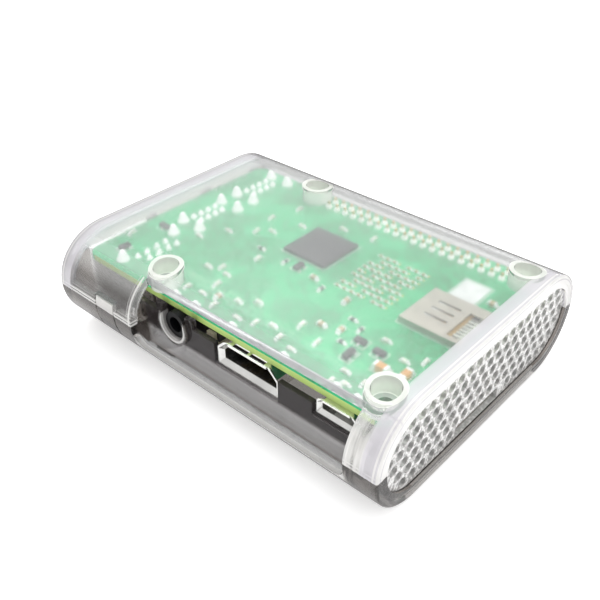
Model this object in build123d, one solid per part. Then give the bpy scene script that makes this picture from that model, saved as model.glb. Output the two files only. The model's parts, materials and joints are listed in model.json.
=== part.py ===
from build123d import *
import os

# A single board computer in a clear two-shell case, lying on its lid with the base upwards.
# X runs along the case towards the storage-card end, Y towards the pin-header side, Z up.
# The origin is the centre of the lid's flat outer face. The board's component face looks down.
# Places on the board are measured from its edges: card edge, port edge, front edge, back edge.

os.makedirs("parts", exist_ok=True)

# ---------------------------------------------------------------- driving dimensions, mm

# circuit board
board_length = 85.0
board_width = 56.0
board_t = 1.4
board_corner = 3.0
mount_hole_dia = 2.75
mount_hole_inset = 3.5
mount_hole_spacing = 58.0

# case shells
wall = 1.8
gap_card_end = 2.8
gap_port_end = 3.7
gap_front = 6.5
gap_back = 8.5
base_post_height = 3.2
lid_clearance = 0.3
seam_z = 12.6
base_round = 12.9
lid_round = 12.5
end_edge_radius = 0.5
end_edge_setback = 0.05
bezel_t = 0.85
bezel_depth = 3.0
end_panel_t = 1.1
rib_t = 1.5
rib_depth = 2.6
slide_clearance = 0.3
groove_clearance = 0.1
port_clearance = 0.4

# screw bosses of the base and support posts of the lid
boss_dia = 7.5
boss_recess_dia = 5.7
boss_floor_t = 1.2
boss_hole_dia = 2.9
post_dia = 6.0
post_hole_dia = 2.2
post_hole_depth = 10.0

# front cut-out, trough and slotted wall behind it
cutout_past_power = 5.9
cutout_past_jack = 9.5
cutout_board_gap = 0.4
cutout_floor_z = 7.9
cutout_corner = 3.0
trough_z = 6.5
trough_t = 1.2
slot_wall_gap = 0.8
slot_wall_t = 1.2
slot_wall_drop = 1.1
collar_dia = 8.8
collar_t = 0.8
collar_rise = 0.8
guide_half_width = 5.6

# latch tongues, one in each long side
latch_width = 6.0
latch_from_end = 13.5
latch_root_z = 7.0
latch_tip_z = 15.2
latch_side_gap = 0.4

# vent grille
grille_hole_dia = 2.3
grille_pitch = 3.1
grille_row_pitch = 2.7
grille_rows = 6
grille_edge = 1.0
cable_slot_width = 16.0
cable_slot_height = 3.0
cable_slot_z = 4.6

# double USB sockets
usb_height = 16.0
usb_width = 13.2
usb_length = 17.5
usb_overhang = 2.1
usb_wall = 0.35
usb_flare = 0.4
usb_port_width = 12.5
usb_port_height = 5.1
usb_port_pitch = 7.9
usb_port_depth = 12.0
usb_tongue_width = 11.1
usb_tongue_t = 1.8
usb_tongue_length = 8.6
usb_tongue_drop = 0.7
usb_contact_size = (1.0, 0.15)
usb_contact_pitch = 2.3
usb_contact_setback = 0.5
usb_back_insets = (9.0, 27.0)

# network socket
net_width = 16.0
net_height = 13.5
net_length = 21.3
net_front_inset = 10.25
net_wall = 0.4
net_mouth_width = 11.8
net_mouth_height = 7.0
net_mouth_depth = 13.0
net_latch_width = 6.0
net_latch_height = 2.2
net_insert_setback = 0.3
net_light_size = (2.4, 2.0, 2.0)
net_light_edge = 0.2
net_wire_size = (0.45, 0.3)
net_wire_pitch = 1.02
net_wire_setback = 3.0
net_wires = 8

# video socket
hdmi_inset = 32.8
hdmi_width = 14.8
hdmi_height = 5.0
hdmi_length = 11.6
hdmi_overhang = 1.5
hdmi_bevel = 2.2
hdmi_wall = 0.35
hdmi_flare = 0.9
hdmi_window_width = 3.9
hdmi_window_gap = 0.7
hdmi_block_depth = 2.0
hdmi_tongue_width = 11.6
hdmi_tongue_t = 1.0
hdmi_tongue_setback = 1.4
hdmi_contact_size = (0.45, 0.1)
hdmi_contact_pitch = 1.0
hdmi_contact_rows = ((10, -1), (9, 1))

# power socket
power_inset = 10.6
power_width = 7.9
power_height = 2.9
power_length = 5.6
power_overhang = 1.3
power_bevel = 0.8
power_wall = 0.3
power_flare = 0.7
power_block_depth = 1.0
power_tongue_size = (3.6, 0.7)
power_tongue_rise = 0.3
power_tongue_setback = 0.6

# sound and video jack
jack_inset = 53.5
jack_width = 7.0
jack_height = 6.0
jack_body_length = 12.0
jack_overhang = 0.3
jack_barrel_dia = 6.0
jack_barrel_length = 1.5
jack_axis_drop = 2.6
jack_bore_dia = 3.6
jack_bore_depth = 10.4
jack_contact_dia = 2.6
jack_contact_t = 0.5

# pin header
header_pins = 20
header_pitch = 2.54
header_card_inset = 7.1
header_back_inset = 3.5
header_height = 2.54
pin_side = 0.64
pin_length = 6.0
pin_tail = 1.4
pin_hole_dia = 1.02
pin_joint = (1.7, 1.0, 0.8)

# flat-cable sockets
ribbon_length = 20.6
ribbon_width = 3.2
ribbon_height = 4.0
ribbon_latch_t = 1.5
ribbon_ear_t = 0.8
ribbon_ear_drop = 2.2
ribbon_clearance = 0.1
ribbon_slot = 0.9
ribbon_slot_floor = 1.0
ribbon_cable_width = 16.0
camera_inset = (45.3, 11.7)
display_inset = (3.6, 28.0)

# chips on the component face
processor_side = 14.0
processor_t = 1.2
controller_side = 9.0
controller_t = 0.9
power_chip_side = 5.0
power_chip_t = 0.9
processor_place = (25.6, 32.5)
usb_controller_place = (57.6, 27.6)
power_controller_place = (12.6, 20.0)
inductor_size = (3.2, 3.2, 1.8)
inductor_places = [(10.4, 13.6), (15.6, 12.6), (19.8, 17.4)]
fuse_size = (4.4, 3.0, 0.9)
fuse_place = (5.4, 8.6)
crystal_size = (3.2, 2.5, 0.8)
crystal_places = [(38.4, 27.0), (57.6, 36.6)]
light_size = (0.9, 1.7, 0.7)
light_places = [(1.6, 9.0), (1.6, 12.0)]
antenna_size = (2.0, 4.2, 1.0)
antenna_place = (2.4, 45.0)

# storage-card socket and memory chip on the bare face
card_socket_length = 13.7
card_socket_width = 13.0
card_socket_height = 1.4
card_socket_card_inset = 2.3
card_socket_front_inset = 24.3
card_sheet_t = 0.25
card_floor_t = 0.4
card_notch_length = 3.4
card_notch_insets = (1.2, 3.0)
card_slot_length = 5.2
card_slot_width = 0.7
card_slot_pitch = 2.6
card_slot_setback = 3.2
card_contact_size = (2.4, 0.55, 0.25)
card_contact_pitch = 1.1
card_contact_setback = 0.4
card_contact_inset = 1.6
card_contact_count = 8
memory_side = 12.0
memory_t = 0.9
memory_place = (45.2, 34.85)
label_size = (6.1, 7.8, 0.15)
label_place = (10.65, 42.1)

# solder joints of the sockets: foot, tip and height
pin_leg_joint = (1.7, 0.7, 0.9)
net_leg_joint = (1.5, 0.7, 0.9)
shield_joint = (2.4, 1.2, 1.5)
front_joint = (1.9, 1.0, 0.7)
usb_leg_rows = (7.2, 9.8)
usb_shield_rows = (6.6, 12.4)
usb_shield_half = 6.3
net_leg_row = 11.0
net_leg_stagger = 2.54
net_leg_pitch = 1.27
net_shield_row = 9.2
net_shield_half = 7.2
front_joint_inset = 1.9
front_joint_halves = ((hdmi_inset, 7.0), (power_inset, 2.4), (jack_inset, 3.0))

# ---------------------------------------------------------------- derived places

case_length = board_length + gap_card_end + gap_port_end
case_width = board_width + gap_front + gap_back
half_width = case_width / 2
front_edge = -half_width + gap_front
net_side_y = front_edge + net_front_inset - net_width / 2
net_corner = max(0.0, -net_side_y - (half_width - lid_round)) / (lid_round - wall)
net_floor_z = seam_z - (seam_z - wall) * (1 - net_corner ** 2) ** 0.5
component_z = max(wall + usb_height, net_floor_z + net_height) + lid_clearance
bare_z = component_z + board_t
ceiling_z = bare_z + base_post_height
case_height = ceiling_z + wall

half_length = case_length / 2
card_edge = half_length - gap_card_end
port_edge = -half_length + gap_port_end
back_edge = half_width - gap_back

panel_outer_x = half_length - bezel_t
panel_inner_x = panel_outer_x - end_panel_t
rib_inner_x = panel_inner_x - rib_t

cut_plane_y = front_edge - cutout_board_gap
cut_card_x = card_edge - power_inset + cutout_past_power
cut_port_x = card_edge - jack_inset - cutout_past_jack
slot_wall_inner_y = front_edge - slot_wall_gap
slot_wall_outer_y = slot_wall_inner_y - slot_wall_t
latch_x = -half_length + latch_from_end + latch_width / 2
jack_x = card_edge - jack_inset
jack_axis_z = component_z - jack_axis_drop
jack_front_y = front_edge - jack_overhang
jack_mouth_y = jack_front_y - jack_barrel_length
panel_split_z = component_z + usb_flare + slide_clearance


def box(x0, x1, y0, y1, z0, z1):
    """A block given by its limits along X, Y and Z."""
    middle = Pos((x0 + x1) / 2, (y0 + y1) / 2, (z0 + z1) / 2)
    return middle * Box(x1 - x0, y1 - y0, z1 - z0)


def on_board(from_card, from_front):
    """The X and Y of a place given from the board's card edge and front edge."""
    return card_edge - from_card, front_edge + from_front


def below(x, y, length, width, height):
    """A block on the component face, which looks down."""
    return box(x - length / 2, x + length / 2, y - width / 2, y + width / 2,
               component_z - height, component_z)


def above(x, y, length, width, height):
    """A block on the bare face, which looks up."""
    return box(x - length / 2, x + length / 2, y - width / 2, y + width / 2,
               bare_z, bare_z + height)


def save(node, *shapes):
    """Write one node; separate solids stay separate."""
    solids = [solid for shape in shapes for solid in shape.solids()]
    shape = solids[0] if len(solids) == 1 else Compound(solids)
    export_step(shape, f"parts/{node}.step")


def mounting_places():
    """The four mounting holes of the board."""
    near_card = card_edge - mount_hole_inset
    columns = (near_card, near_card - mount_hole_spacing)
    rows = (front_edge + mount_hole_inset, back_edge - mount_hole_inset)
    return [(x, y) for x in columns for y in rows]


# ---------------------------------------------------------------- case section

def section(upper, inset):
    """Half of the case's rounded section in YZ: the base's or the lid's, drawn in by an inset."""
    reach = (base_round if upper else lid_round) - inset
    rise = (case_height - seam_z if upper else seam_z) - inset
    flat = half_width - inset - reach
    side = 1 if upper else -1
    right = EllipticalCenterArc((flat, seam_z), reach, rise, start_angle=0, arc_size=90 * side)
    left = EllipticalCenterArc((-flat, seam_z), reach, rise, start_angle=180, arc_size=-90 * side)
    far = Line((flat, seam_z + side * rise), (-flat, seam_z + side * rise))
    closing = Line((-flat - reach, seam_z), (flat + reach, seam_z))
    return make_face([right, far, left, closing])


def slab(upper, inset, x0, x1):
    """The half section as a solid from x0 to x1."""
    plane = Plane(origin=(x0, 0, 0), x_dir=(0, 1, 0), z_dir=(1, 0, 0))
    return extrude(plane * section(upper, inset), x1 - x0)


def ring(upper, depth, x0, x1):
    """A flange along the inside of the shell, standing in to a depth from the outside."""
    return slab(upper, wall / 2, x0, x1) - slab(upper, depth, x0, x1)


def shell(upper, clearance):
    """One case shell with the bezels and ribs that hold the end panels."""
    outer = slab(upper, 0, -half_length, half_length)
    seam_edges = outer.edges().filter_by_position(Axis.Z, seam_z - 0.01, seam_z + 0.01)
    end_edges = outer.faces().sort_by(Axis.X)[0].edges() + outer.faces().sort_by(Axis.X)[-1].edges()
    body = fillet([edge for edge in end_edges if edge not in seam_edges], end_edge_radius)
    body -= slab(upper, wall, -half_length, half_length)
    outer_x = panel_outer_x + clearance
    inner_x = panel_inner_x - clearance
    body += ring(upper, bezel_depth, outer_x, half_length - end_edge_setback)
    body += ring(upper, bezel_depth, -half_length + end_edge_setback, -outer_x)
    body += ring(upper, rib_depth, rib_inner_x, inner_x)
    body += ring(upper, rib_depth, -inner_x, -rib_inner_x)
    return body


def cutout(bottom_z):
    """The long opening in the front side, with rounded lower corners."""
    tool = box(cut_port_x, cut_card_x, -half_width - 1, cut_plane_y, bottom_z, case_height + 1)
    corners = tool.edges().filter_by(Axis.Y).sort_by(Axis.Z)[:2]
    return fillet(corners, cutout_corner)


def port_windows():
    """Room for the network socket and the double USB sockets, open towards the base."""
    side = usb_width / 2 + usb_flare + port_clearance
    tools = []
    for inset in usb_back_insets:
        y = back_edge - inset
        tools.append(box(-half_length - 1, -rib_inner_x + 1, y - side, y + side, wall, case_height))
    y = front_edge + net_front_inset
    side = net_width / 2 + port_clearance
    sill = component_z - net_height - port_clearance
    tools.append(box(-half_length - 1, -rib_inner_x + 1, y - side, y + side, sill, case_height))
    return tools


def case_base():
    """The shell that faces up: bosses, front cut-out, latch notches and upper end wall."""
    body = shell(True, groove_clearance)
    port_wall = slab(True, wall / 2, -panel_outer_x + groove_clearance, -panel_inner_x - groove_clearance)
    body += port_wall & box(-half_length, 0, -half_width, half_width, panel_split_z, case_height)
    for x, y in mounting_places():
        body += Pos(x, y, (bare_z + ceiling_z) / 2 + wall / 4) * Cylinder(
            boss_dia / 2, base_post_height + wall / 2)
    for x, y in mounting_places():
        recess_floor = bare_z + boss_floor_t
        body -= Pos(x, y, recess_floor) * Cylinder(
            boss_recess_dia / 2, case_height, align=(Align.CENTER, Align.CENTER, Align.MIN))
        body -= Pos(x, y, bare_z) * Cylinder(boss_hole_dia / 2, 2 * case_height)
    body -= cutout(0)
    notch_half = latch_width / 2 + slide_clearance
    notch_top = latch_tip_z + slide_clearance
    for y in (-half_width, half_width):
        reach = wall * 3
        body -= box(latch_x - notch_half, latch_x + notch_half, y - reach, y + reach, 0, notch_top)
    return body


def connector_wall():
    """The slotted wall behind the front cut-out; its slots are open towards the base."""
    top = component_z - slot_wall_drop
    x0, x1 = cut_port_x - wall, cut_card_x + wall
    body = box(x0, x1, slot_wall_outer_y, slot_wall_inner_y, 0, top)
    body &= slab(False, wall / 2, x0, x1) + box(x0, x1, -half_width, 0, seam_z, top)
    guide_top = jack_axis_z + collar_dia / 2 - collar_rise
    body += box(jack_x - guide_half_width, jack_x + guide_half_width,
                slot_wall_outer_y, slot_wall_inner_y, trough_z, guide_top)
    collar_y = slot_wall_outer_y - collar_t / 2
    collar = Pos(jack_x, collar_y, jack_axis_z) * Rot(90, 0, 0) * Cylinder(collar_dia / 2, collar_t)
    body += collar & box(jack_x - collar_dia, jack_x + collar_dia, -half_width, 0, 0, guide_top)
    slot_half = jack_barrel_dia / 2 + port_clearance
    body -= Pos(jack_x, slot_wall_inner_y, jack_axis_z) * Rot(90, 0, 0) * Cylinder(slot_half, 8)
    body -= box(jack_x - slot_half, jack_x + slot_half, slot_wall_outer_y - 2 * collar_t, 0,
                jack_axis_z, case_height)
    for inset, width, height, flare in ((hdmi_inset, hdmi_width, hdmi_height, hdmi_flare),
                                        (power_inset, power_width, power_height, power_flare)):
        x = card_edge - inset
        half = width / 2 + flare + port_clearance
        bottom = component_z - height - flare - port_clearance
        body -= box(x - half, x + half, -half_width, 0, bottom, case_height)
    return body


def front_trough():
    """The ledge and end walls that close the lid behind the front cut-out."""
    inside = slab(False, wall / 2, cut_port_x - wall, cut_card_x + wall)
    ledge = box(cut_port_x - wall, cut_card_x + wall, -half_width, slot_wall_outer_y,
                trough_z - trough_t, trough_z)
    body = ledge
    for x in (cut_port_x - wall, cut_card_x):
        body += box(x, x + wall, -half_width, slot_wall_outer_y, trough_z - trough_t, seam_z)
    return body & inside


def port_columns():
    """The end wall between the ports, up to just below the base's own end wall."""
    x0, x1 = -panel_outer_x, -panel_inner_x
    body = slab(False, wall / 2, x0, x1) + slab(True, wall + slide_clearance, x0, x1)
    return body - box(x0 - 1, x1 + 1, -half_width, half_width, panel_split_z - slide_clearance, case_height)


def case_lid():
    """The shell that the case lies on: posts, slotted connector wall, trough and port columns."""
    body = shell(False, 0)
    body -= cutout(cutout_floor_z)
    body += connector_wall()
    body += front_trough()
    body += port_columns()
    for window in port_windows():
        body -= window
    for x, y in mounting_places():
        body += Pos(x, y, wall / 2) * Cylinder(
            post_dia / 2, component_z - wall / 2, align=(Align.CENTER, Align.CENTER, Align.MIN))
        body -= Pos(x, y, component_z - post_hole_depth) * Cylinder(
            post_hole_dia / 2, post_hole_depth, align=(Align.CENTER, Align.CENTER, Align.MIN))
    gap_half = latch_width / 2 + latch_side_gap
    for y in (-half_width, half_width):
        reach = wall * 3
        body -= box(latch_x - gap_half, latch_x + gap_half, y - reach, y + reach, latch_root_z, seam_z)
    return body


def latch(side):
    """A springy tongue cut free from the lid's wall; its tip fills the notch in the base."""
    x0, x1 = latch_x - latch_width / 2, latch_x + latch_width / 2
    wall_piece = slab(False, 0, x0, x1) - slab(False, wall, x0, x1)
    wall_piece += slab(True, 0, x0, x1) - slab(True, wall, x0, x1)
    reach = base_round
    near = side * half_width
    return wall_piece & box(x0, x1, near - reach, near + reach, latch_root_z, latch_tip_z)


def grille_holes():
    """Staggered round holes, those that would break the plate's edge or the cable slot left out."""
    first_z = ceiling_z - slide_clearance - grille_edge - grille_row_pitch
    centres = []
    for row in range(grille_rows):
        z = first_z - row * grille_row_pitch
        upper = z > seam_z
        rise = (case_height - seam_z if upper else seam_z) - wall - grille_edge - grille_hole_dia / 2
        reach = (base_round if upper else lid_round) - wall - grille_edge - grille_hole_dia / 2
        flat = half_width - (base_round if upper else lid_round)
        usable = flat + reach * max(0.0, 1 - ((z - seam_z) / rise) ** 2) ** 0.5
        offset = grille_pitch / 2 * (row % 2)
        count = int((usable - offset) // grille_pitch)
        places = [offset + step * grille_pitch for step in range(-count - row % 2, count + 1)]
        centres += [(y, z) for y in places if abs(y) <= usable]
    slot_half = (cable_slot_width + grille_hole_dia) / 2 + grille_edge / 2
    slot_top = cable_slot_z + (cable_slot_height + grille_hole_dia) / 2 + grille_edge / 4
    return [(y, z) for y, z in centres if abs(y - cable_slot_y()) > slot_half or z > slot_top]


def cable_slot_y():
    """The cable slot lines up with the display socket on the board."""
    return front_edge + display_inset[1]


def end_grille():
    """The perforated plate at the storage-card end, held in the grooves of both shells."""
    x0, x1 = panel_inner_x, panel_outer_x
    body = slab(False, wall, x0, x1) + slab(True, wall + slide_clearance, x0, x1)
    plane = Plane(origin=(x0, 0, 0), x_dir=(0, 1, 0), z_dir=(1, 0, 0))
    openings = Sketch() + [Pos(y, z) * Circle(grille_hole_dia / 2) for y, z in grille_holes()]
    openings += Pos(cable_slot_y(), cable_slot_z) * RectangleRounded(
        cable_slot_width, cable_slot_height, grille_edge)
    return body - extrude(plane * openings, x1 - x0)


# ---------------------------------------------------------------- board and header

def header_places():
    """Every pin of the two-row header."""
    first_x = card_edge - header_card_inset - header_pitch / 2
    middle_y = back_edge - header_back_inset
    rows = (middle_y - header_pitch / 2, middle_y + header_pitch / 2)
    return [(first_x - step * header_pitch, y) for step in range(header_pins) for y in rows]


def circuit_board():
    """The bare board with its mounting holes and header holes."""
    middle = Pos((card_edge + port_edge) / 2, (front_edge + back_edge) / 2)
    face = middle * RectangleRounded(board_length, board_width, board_corner)
    face -= [Pos(x, y) * Circle(mount_hole_dia / 2) for x, y in mounting_places()]
    face -= [Pos(x, y) * Circle(pin_hole_dia / 2) for x, y in header_places()]
    return extrude(Pos(0, 0, component_z) * face, board_t)


def header_housing():
    """The header's moulded block, with a square hole for each pin."""
    length = header_pins * header_pitch
    middle = Pos(card_edge - header_card_inset - length / 2, back_edge - header_back_inset)
    face = middle * Rectangle(length, 2 * header_pitch)
    face -= [Pos(x, y) * Rectangle(pin_side, pin_side) for x, y in header_places()]
    return extrude(Pos(0, 0, component_z - header_height) * face, header_height)


def header_pin_set():
    """Square pins through the housing and the board."""
    low = component_z - header_height - pin_length
    half = pin_side / 2
    return [box(x - half, x + half, y - half, y + half, low, bare_z + pin_tail) for x, y in header_places()]


def solder_cone(x, y, joint):
    """A solder joint that stands up from the bare face."""
    foot, tip, height = joint
    place = Pos(x, y, bare_z + height / 2)
    return place * Cone(foot / 2, tip / 2, height)


def header_solder():
    """A solder fillet round each pin's tail."""
    pin = Pos(0, 0, bare_z) * Box(pin_side, pin_side, 2 * pin_tail)
    return [solder_cone(x, y, pin_joint) - Pos(x, y, 0) * pin for x, y in header_places()]


# ---------------------------------------------------------------- sockets

def bevelled(width, height, bevel, inset):
    """A socket outline in XZ, hanging from z = 0, with bevels on the board's side."""
    half = width / 2 - inset
    points = [(-half + bevel, -inset), (half - bevel, -inset), (half, -inset - bevel),
              (half, -height + inset), (-half, -height + inset), (-half, -inset - bevel)]
    return make_face(Polyline(*points, close=True))


def plain(width, height, inset):
    """A rectangular socket outline in XZ, hanging from z = 0."""
    return Pos(0, -height / 2) * Rectangle(width - 2 * inset, height - 2 * inset)


def sheet_socket(outer, inner, length, flare):
    """A sheet-metal socket shell with a flared mouth, mouth at y = 0 facing -Y."""
    mouth = Plane(origin=(0, flare, 0), x_dir=(1, 0, 0), z_dir=(0, -1, 0))
    tube = extrude(mouth * outer, flare - length)
    tube -= extrude(mouth * inner, flare - length)
    lip = extrude(mouth * outer, flare, taper=-45)
    lip -= extrude(mouth * inner, flare, taper=-45)
    return tube + lip


def facing_front(inset, overhang):
    """The place of a front socket's mouth on the component face."""
    return Pos(card_edge - inset, front_edge - overhang, component_z)


def facing_ports(y):
    """The place of a port's mouth at the port end, turned to face -X."""
    return Pos(port_edge - usb_overhang, y, component_z) * Rot(0, 0, -90)


def front_shell(width, height, length, bevel, sheet, flare):
    """A front socket's shell: flared at the sides and bottom, flat on top, under the board."""
    outer = bevelled(width, height, bevel, 0)
    inner = bevelled(width, height, bevel, sheet)
    body = sheet_socket(outer, inner, length, flare)
    body -= Pos(0, 0, flare) * Box(2 * width, 2 * length, 2 * flare)
    half = width / 2 - bevel
    return body + box(-half, half, 0, flare + sheet, -sheet, 0)


def hdmi_shell():
    """The video socket's shell, with two spring windows in its top in front of the board."""
    body = front_shell(hdmi_width, hdmi_height, hdmi_length, hdmi_bevel, hdmi_wall, hdmi_flare)
    near = hdmi_window_gap / 2
    far = near + hdmi_window_width
    for x0, x1 in ((-far, -near), (near, far)):
        body -= box(x0, x1, hdmi_wall, hdmi_overhang, -hdmi_wall, 0)
    return facing_front(hdmi_inset, hdmi_overhang) * body


def hdmi_insulator():
    """The back block and the tongue that the contacts lie on."""
    back = hdmi_length - hdmi_block_depth
    plane = Plane(origin=(0, back, 0), x_dir=(1, 0, 0), z_dir=(0, -1, 0))
    block = extrude(plane * bevelled(hdmi_width, hdmi_height, hdmi_bevel, hdmi_wall), -hdmi_block_depth)
    middle = -hdmi_height / 2
    tongue = box(-hdmi_tongue_width / 2, hdmi_tongue_width / 2, hdmi_flare + hdmi_tongue_setback, back,
                 middle - hdmi_tongue_t / 2, middle + hdmi_tongue_t / 2)
    return facing_front(hdmi_inset, hdmi_overhang) * (block + tongue)


def hdmi_contacts():
    """Contact strips on both faces of the tongue."""
    width, t = hdmi_contact_size
    front = hdmi_flare + hdmi_tongue_setback + width
    strips = []
    for count, side in hdmi_contact_rows:
        z = -hdmi_height / 2 + side * (hdmi_tongue_t + t) / 2
        for step in range(count):
            x = (step - (count - 1) / 2) * hdmi_contact_pitch
            strips.append(box(x - width / 2, x + width / 2, front, hdmi_length - hdmi_block_depth,
                              z - t / 2, z + t / 2))
    return [facing_front(hdmi_inset, hdmi_overhang) * strip for strip in strips]


def power_shell():
    body = front_shell(power_width, power_height, power_length, power_bevel, power_wall, power_flare)
    return facing_front(power_inset, power_overhang) * body


def power_tongue():
    """The back block and the tongue of the power socket."""
    back = power_length - power_block_depth
    width, t = power_tongue_size
    plane = Plane(origin=(0, back, 0), x_dir=(1, 0, 0), z_dir=(0, -1, 0))
    block = extrude(plane * bevelled(power_width, power_height, power_bevel, power_wall),
                    -power_block_depth)
    z = -power_height / 2 + power_tongue_rise
    tongue = box(-width / 2, width / 2, power_flare + power_tongue_setback, back, z - t / 2, z + t / 2)
    return facing_front(power_inset, power_overhang) * (block + tongue)


def jack_round(dia, y0, y1):
    """A round length on the jack's axis."""
    return Pos(jack_x, (y0 + y1) / 2, jack_axis_z) * Rot(90, 0, 0) * Cylinder(dia / 2, y1 - y0)


def jack_body():
    """The moulded jack: a block on the board and a round barrel towards the front."""
    body = box(jack_x - jack_width / 2, jack_x + jack_width / 2, jack_front_y,
               jack_front_y + jack_body_length, component_z - jack_height, component_z)
    body += jack_round(jack_barrel_dia, jack_mouth_y, jack_front_y)
    bore_end = jack_mouth_y + jack_bore_depth
    body -= jack_round(jack_bore_dia, jack_mouth_y, bore_end)
    return body - jack_round(jack_contact_dia, jack_mouth_y, bore_end + jack_contact_t)


def jack_contact():
    """The contact for the plug's tip, in its pocket behind the bore."""
    bore_end = jack_mouth_y + jack_bore_depth
    return jack_round(jack_contact_dia, bore_end + jack_contact_t / 2, bore_end + jack_contact_t)


def usb_shell(y):
    """One double socket: a box of sheet metal with two ports, flared at the mouth."""
    height = usb_height - usb_flare
    mouth = Plane(origin=(0, usb_flare, 0), x_dir=(1, 0, 0), z_dir=(0, -1, 0))
    outer = plain(usb_width, height, 0)
    body = extrude(mouth * outer, usb_flare - usb_length)
    lip = extrude(mouth * outer, usb_flare, taper=-45)
    lip -= extrude(mouth * plain(usb_width, height, usb_wall), usb_flare, taper=-45)
    body += lip
    for z in usb_port_heights():
        body -= box(-usb_port_width / 2, usb_port_width / 2, 0, usb_port_depth,
                    z - usb_port_height / 2, z + usb_port_height / 2)
    return facing_ports(y) * body


def usb_port_heights():
    """The middle of each port, down from the board."""
    middle = -(usb_height - usb_flare) / 2
    return middle - usb_port_pitch / 2, middle + usb_port_pitch / 2


def usb_tongues(y):
    tongues = []
    for z in usb_port_heights():
        top = z + usb_port_height / 2 - usb_tongue_drop
        tongues.append(facing_ports(y) * box(
            -usb_tongue_width / 2, usb_tongue_width / 2, usb_port_depth - usb_tongue_length,
            usb_port_depth, top - usb_tongue_t, top))
    return tongues


def usb_contacts(y):
    """Four contact strips under each tongue."""
    width, t = usb_contact_size
    front = usb_port_depth - usb_tongue_length + usb_contact_setback
    strips = []
    for z in usb_port_heights():
        face = z + usb_port_height / 2 - usb_tongue_drop - usb_tongue_t
        for x in usb_contact_places():
            strips.append(facing_ports(y) * box(x - width / 2, x + width / 2, front, usb_port_depth,
                                                face - t, face))
    return strips


def usb_contact_places():
    """The four contacts of a port, across its width."""
    return [(step - 1.5) * usb_contact_pitch for step in range(4)]


def net_place():
    return facing_ports(front_edge + net_front_inset)


def net_shield():
    """The sheet-metal cover of the network socket, open towards the port end."""
    body = box(-net_width / 2, net_width / 2, 0, net_length, -net_height, 0)
    body -= box(-net_width / 2 + net_wall, net_width / 2 - net_wall, -net_wall, net_length - net_wall,
                -net_height + net_wall, net_wall)
    return net_place() * body


def net_insert():
    """The moulded insert with the plug's mouth and the latch channel."""
    side = net_width / 2 - net_wall
    body = box(-side, side, net_insert_setback, net_length - net_wall, -net_height + net_wall, 0)
    middle = -net_height / 2
    mouth_top = middle + net_mouth_height / 2
    body -= box(-net_mouth_width / 2, net_mouth_width / 2, 0, net_mouth_depth,
                mouth_top - net_mouth_height, mouth_top)
    body -= box(-net_latch_width / 2, net_latch_width / 2, 0, net_mouth_depth,
                middle, mouth_top + net_latch_height)
    for light in net_light_blocks():
        body -= light
    return net_place() * body


def net_contacts():
    """Eight spring wires on the floor of the mouth."""
    width, t = net_wire_size
    floor = -net_height / 2 - net_mouth_height / 2
    wires = []
    for step in range(net_wires):
        x = (step - (net_wires - 1) / 2) * net_wire_pitch
        wires.append(net_place() * box(x - width / 2, x + width / 2, net_wire_setback, net_mouth_depth,
                                       floor, floor + t))
    return wires


def net_light_blocks():
    """The two indicator lights in the insert's lower corners."""
    width, length, height = net_light_size
    outer = net_width / 2 - net_wall - net_light_edge
    low = -net_height + net_wall
    return [box(x, x + width, net_insert_setback, net_insert_setback + length, low, low + height)
            for x in (-outer, outer - width)]


def net_lights():
    return [net_place() * light for light in net_light_blocks()]


# ---------------------------------------------------------------- flat-cable sockets

def ribbon_socket(x, y):
    """The socket's base; the cable goes in along Z."""
    body = below(x, y, ribbon_width, ribbon_length, ribbon_height)
    slot = below(x, y, ribbon_slot, ribbon_cable_width, ribbon_height)
    return body - Pos(0, 0, -ribbon_slot_floor) * slot


def ribbon_latch(x, y):
    """The sliding latch over the socket's mouth, with an ear past each end."""
    half = ribbon_length / 2 + ribbon_clearance
    top = component_z - ribbon_height
    body = box(x - ribbon_width / 2, x + ribbon_width / 2, y - half - ribbon_ear_t,
               y + half + ribbon_ear_t, top - ribbon_latch_t, top)
    for y0 in (y - half - ribbon_ear_t, y + half):
        body += box(x - ribbon_width / 3, x + ribbon_width / 3, y0, y0 + ribbon_ear_t,
                    top, top + ribbon_ear_drop)
    return body - box(x - ribbon_slot / 2, x + ribbon_slot / 2, y - ribbon_cable_width / 2,
                      y + ribbon_cable_width / 2, 0, top + ribbon_latch_t)


# ---------------------------------------------------------------- storage-card socket

def card_socket_limits():
    """X and Y limits of the storage-card socket on the bare face."""
    x1 = card_edge - card_socket_card_inset
    y0 = front_edge + card_socket_front_inset
    return x1 - card_socket_length, x1, y0, y0 + card_socket_width


def card_shell():
    """The sheet-metal cover, folded down on three sides, with two slots for spring fingers."""
    x0, x1, y0, y1 = card_socket_limits()
    top = bare_z + card_socket_height
    body = box(x0, x1, y0, y1, bare_z, top)
    body -= box(x0 + card_sheet_t, x1 + 1, y0 + card_sheet_t, y1 - card_sheet_t, bare_z,
                top - card_sheet_t)
    for step in (-1, 0, 1):
        middle = (y0 + y1) / 2 + step * card_slot_pitch
        body -= box(x0 + card_slot_setback, x0 + card_slot_setback + card_slot_length, middle,
                    middle + card_slot_width, top - card_sheet_t, top)
    near, far = card_notch_insets
    return body - box(x1 - card_notch_length, x1, y0 + near, y1 - far, top - card_sheet_t, top)


def card_frame():
    """The moulded floor of the storage-card socket."""
    x0, x1, y0, y1 = card_socket_limits()
    return box(x0 + card_sheet_t, x1, y0 + card_sheet_t, y1 - card_sheet_t, bare_z, bare_z + card_floor_t)


def card_contacts():
    """Spring contacts in the mouth of the storage-card socket."""
    x0, x1, y0, y1 = card_socket_limits()
    length, width, t = card_contact_size
    low, end = bare_z + card_floor_t, x1 - card_contact_setback
    first = y0 + card_contact_inset
    return [box(end - length, end, first + step * card_contact_pitch,
                first + step * card_contact_pitch + width, low, low + t)
            for step in range(card_contact_count)]


# ---------------------------------------------------------------- small parts

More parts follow.
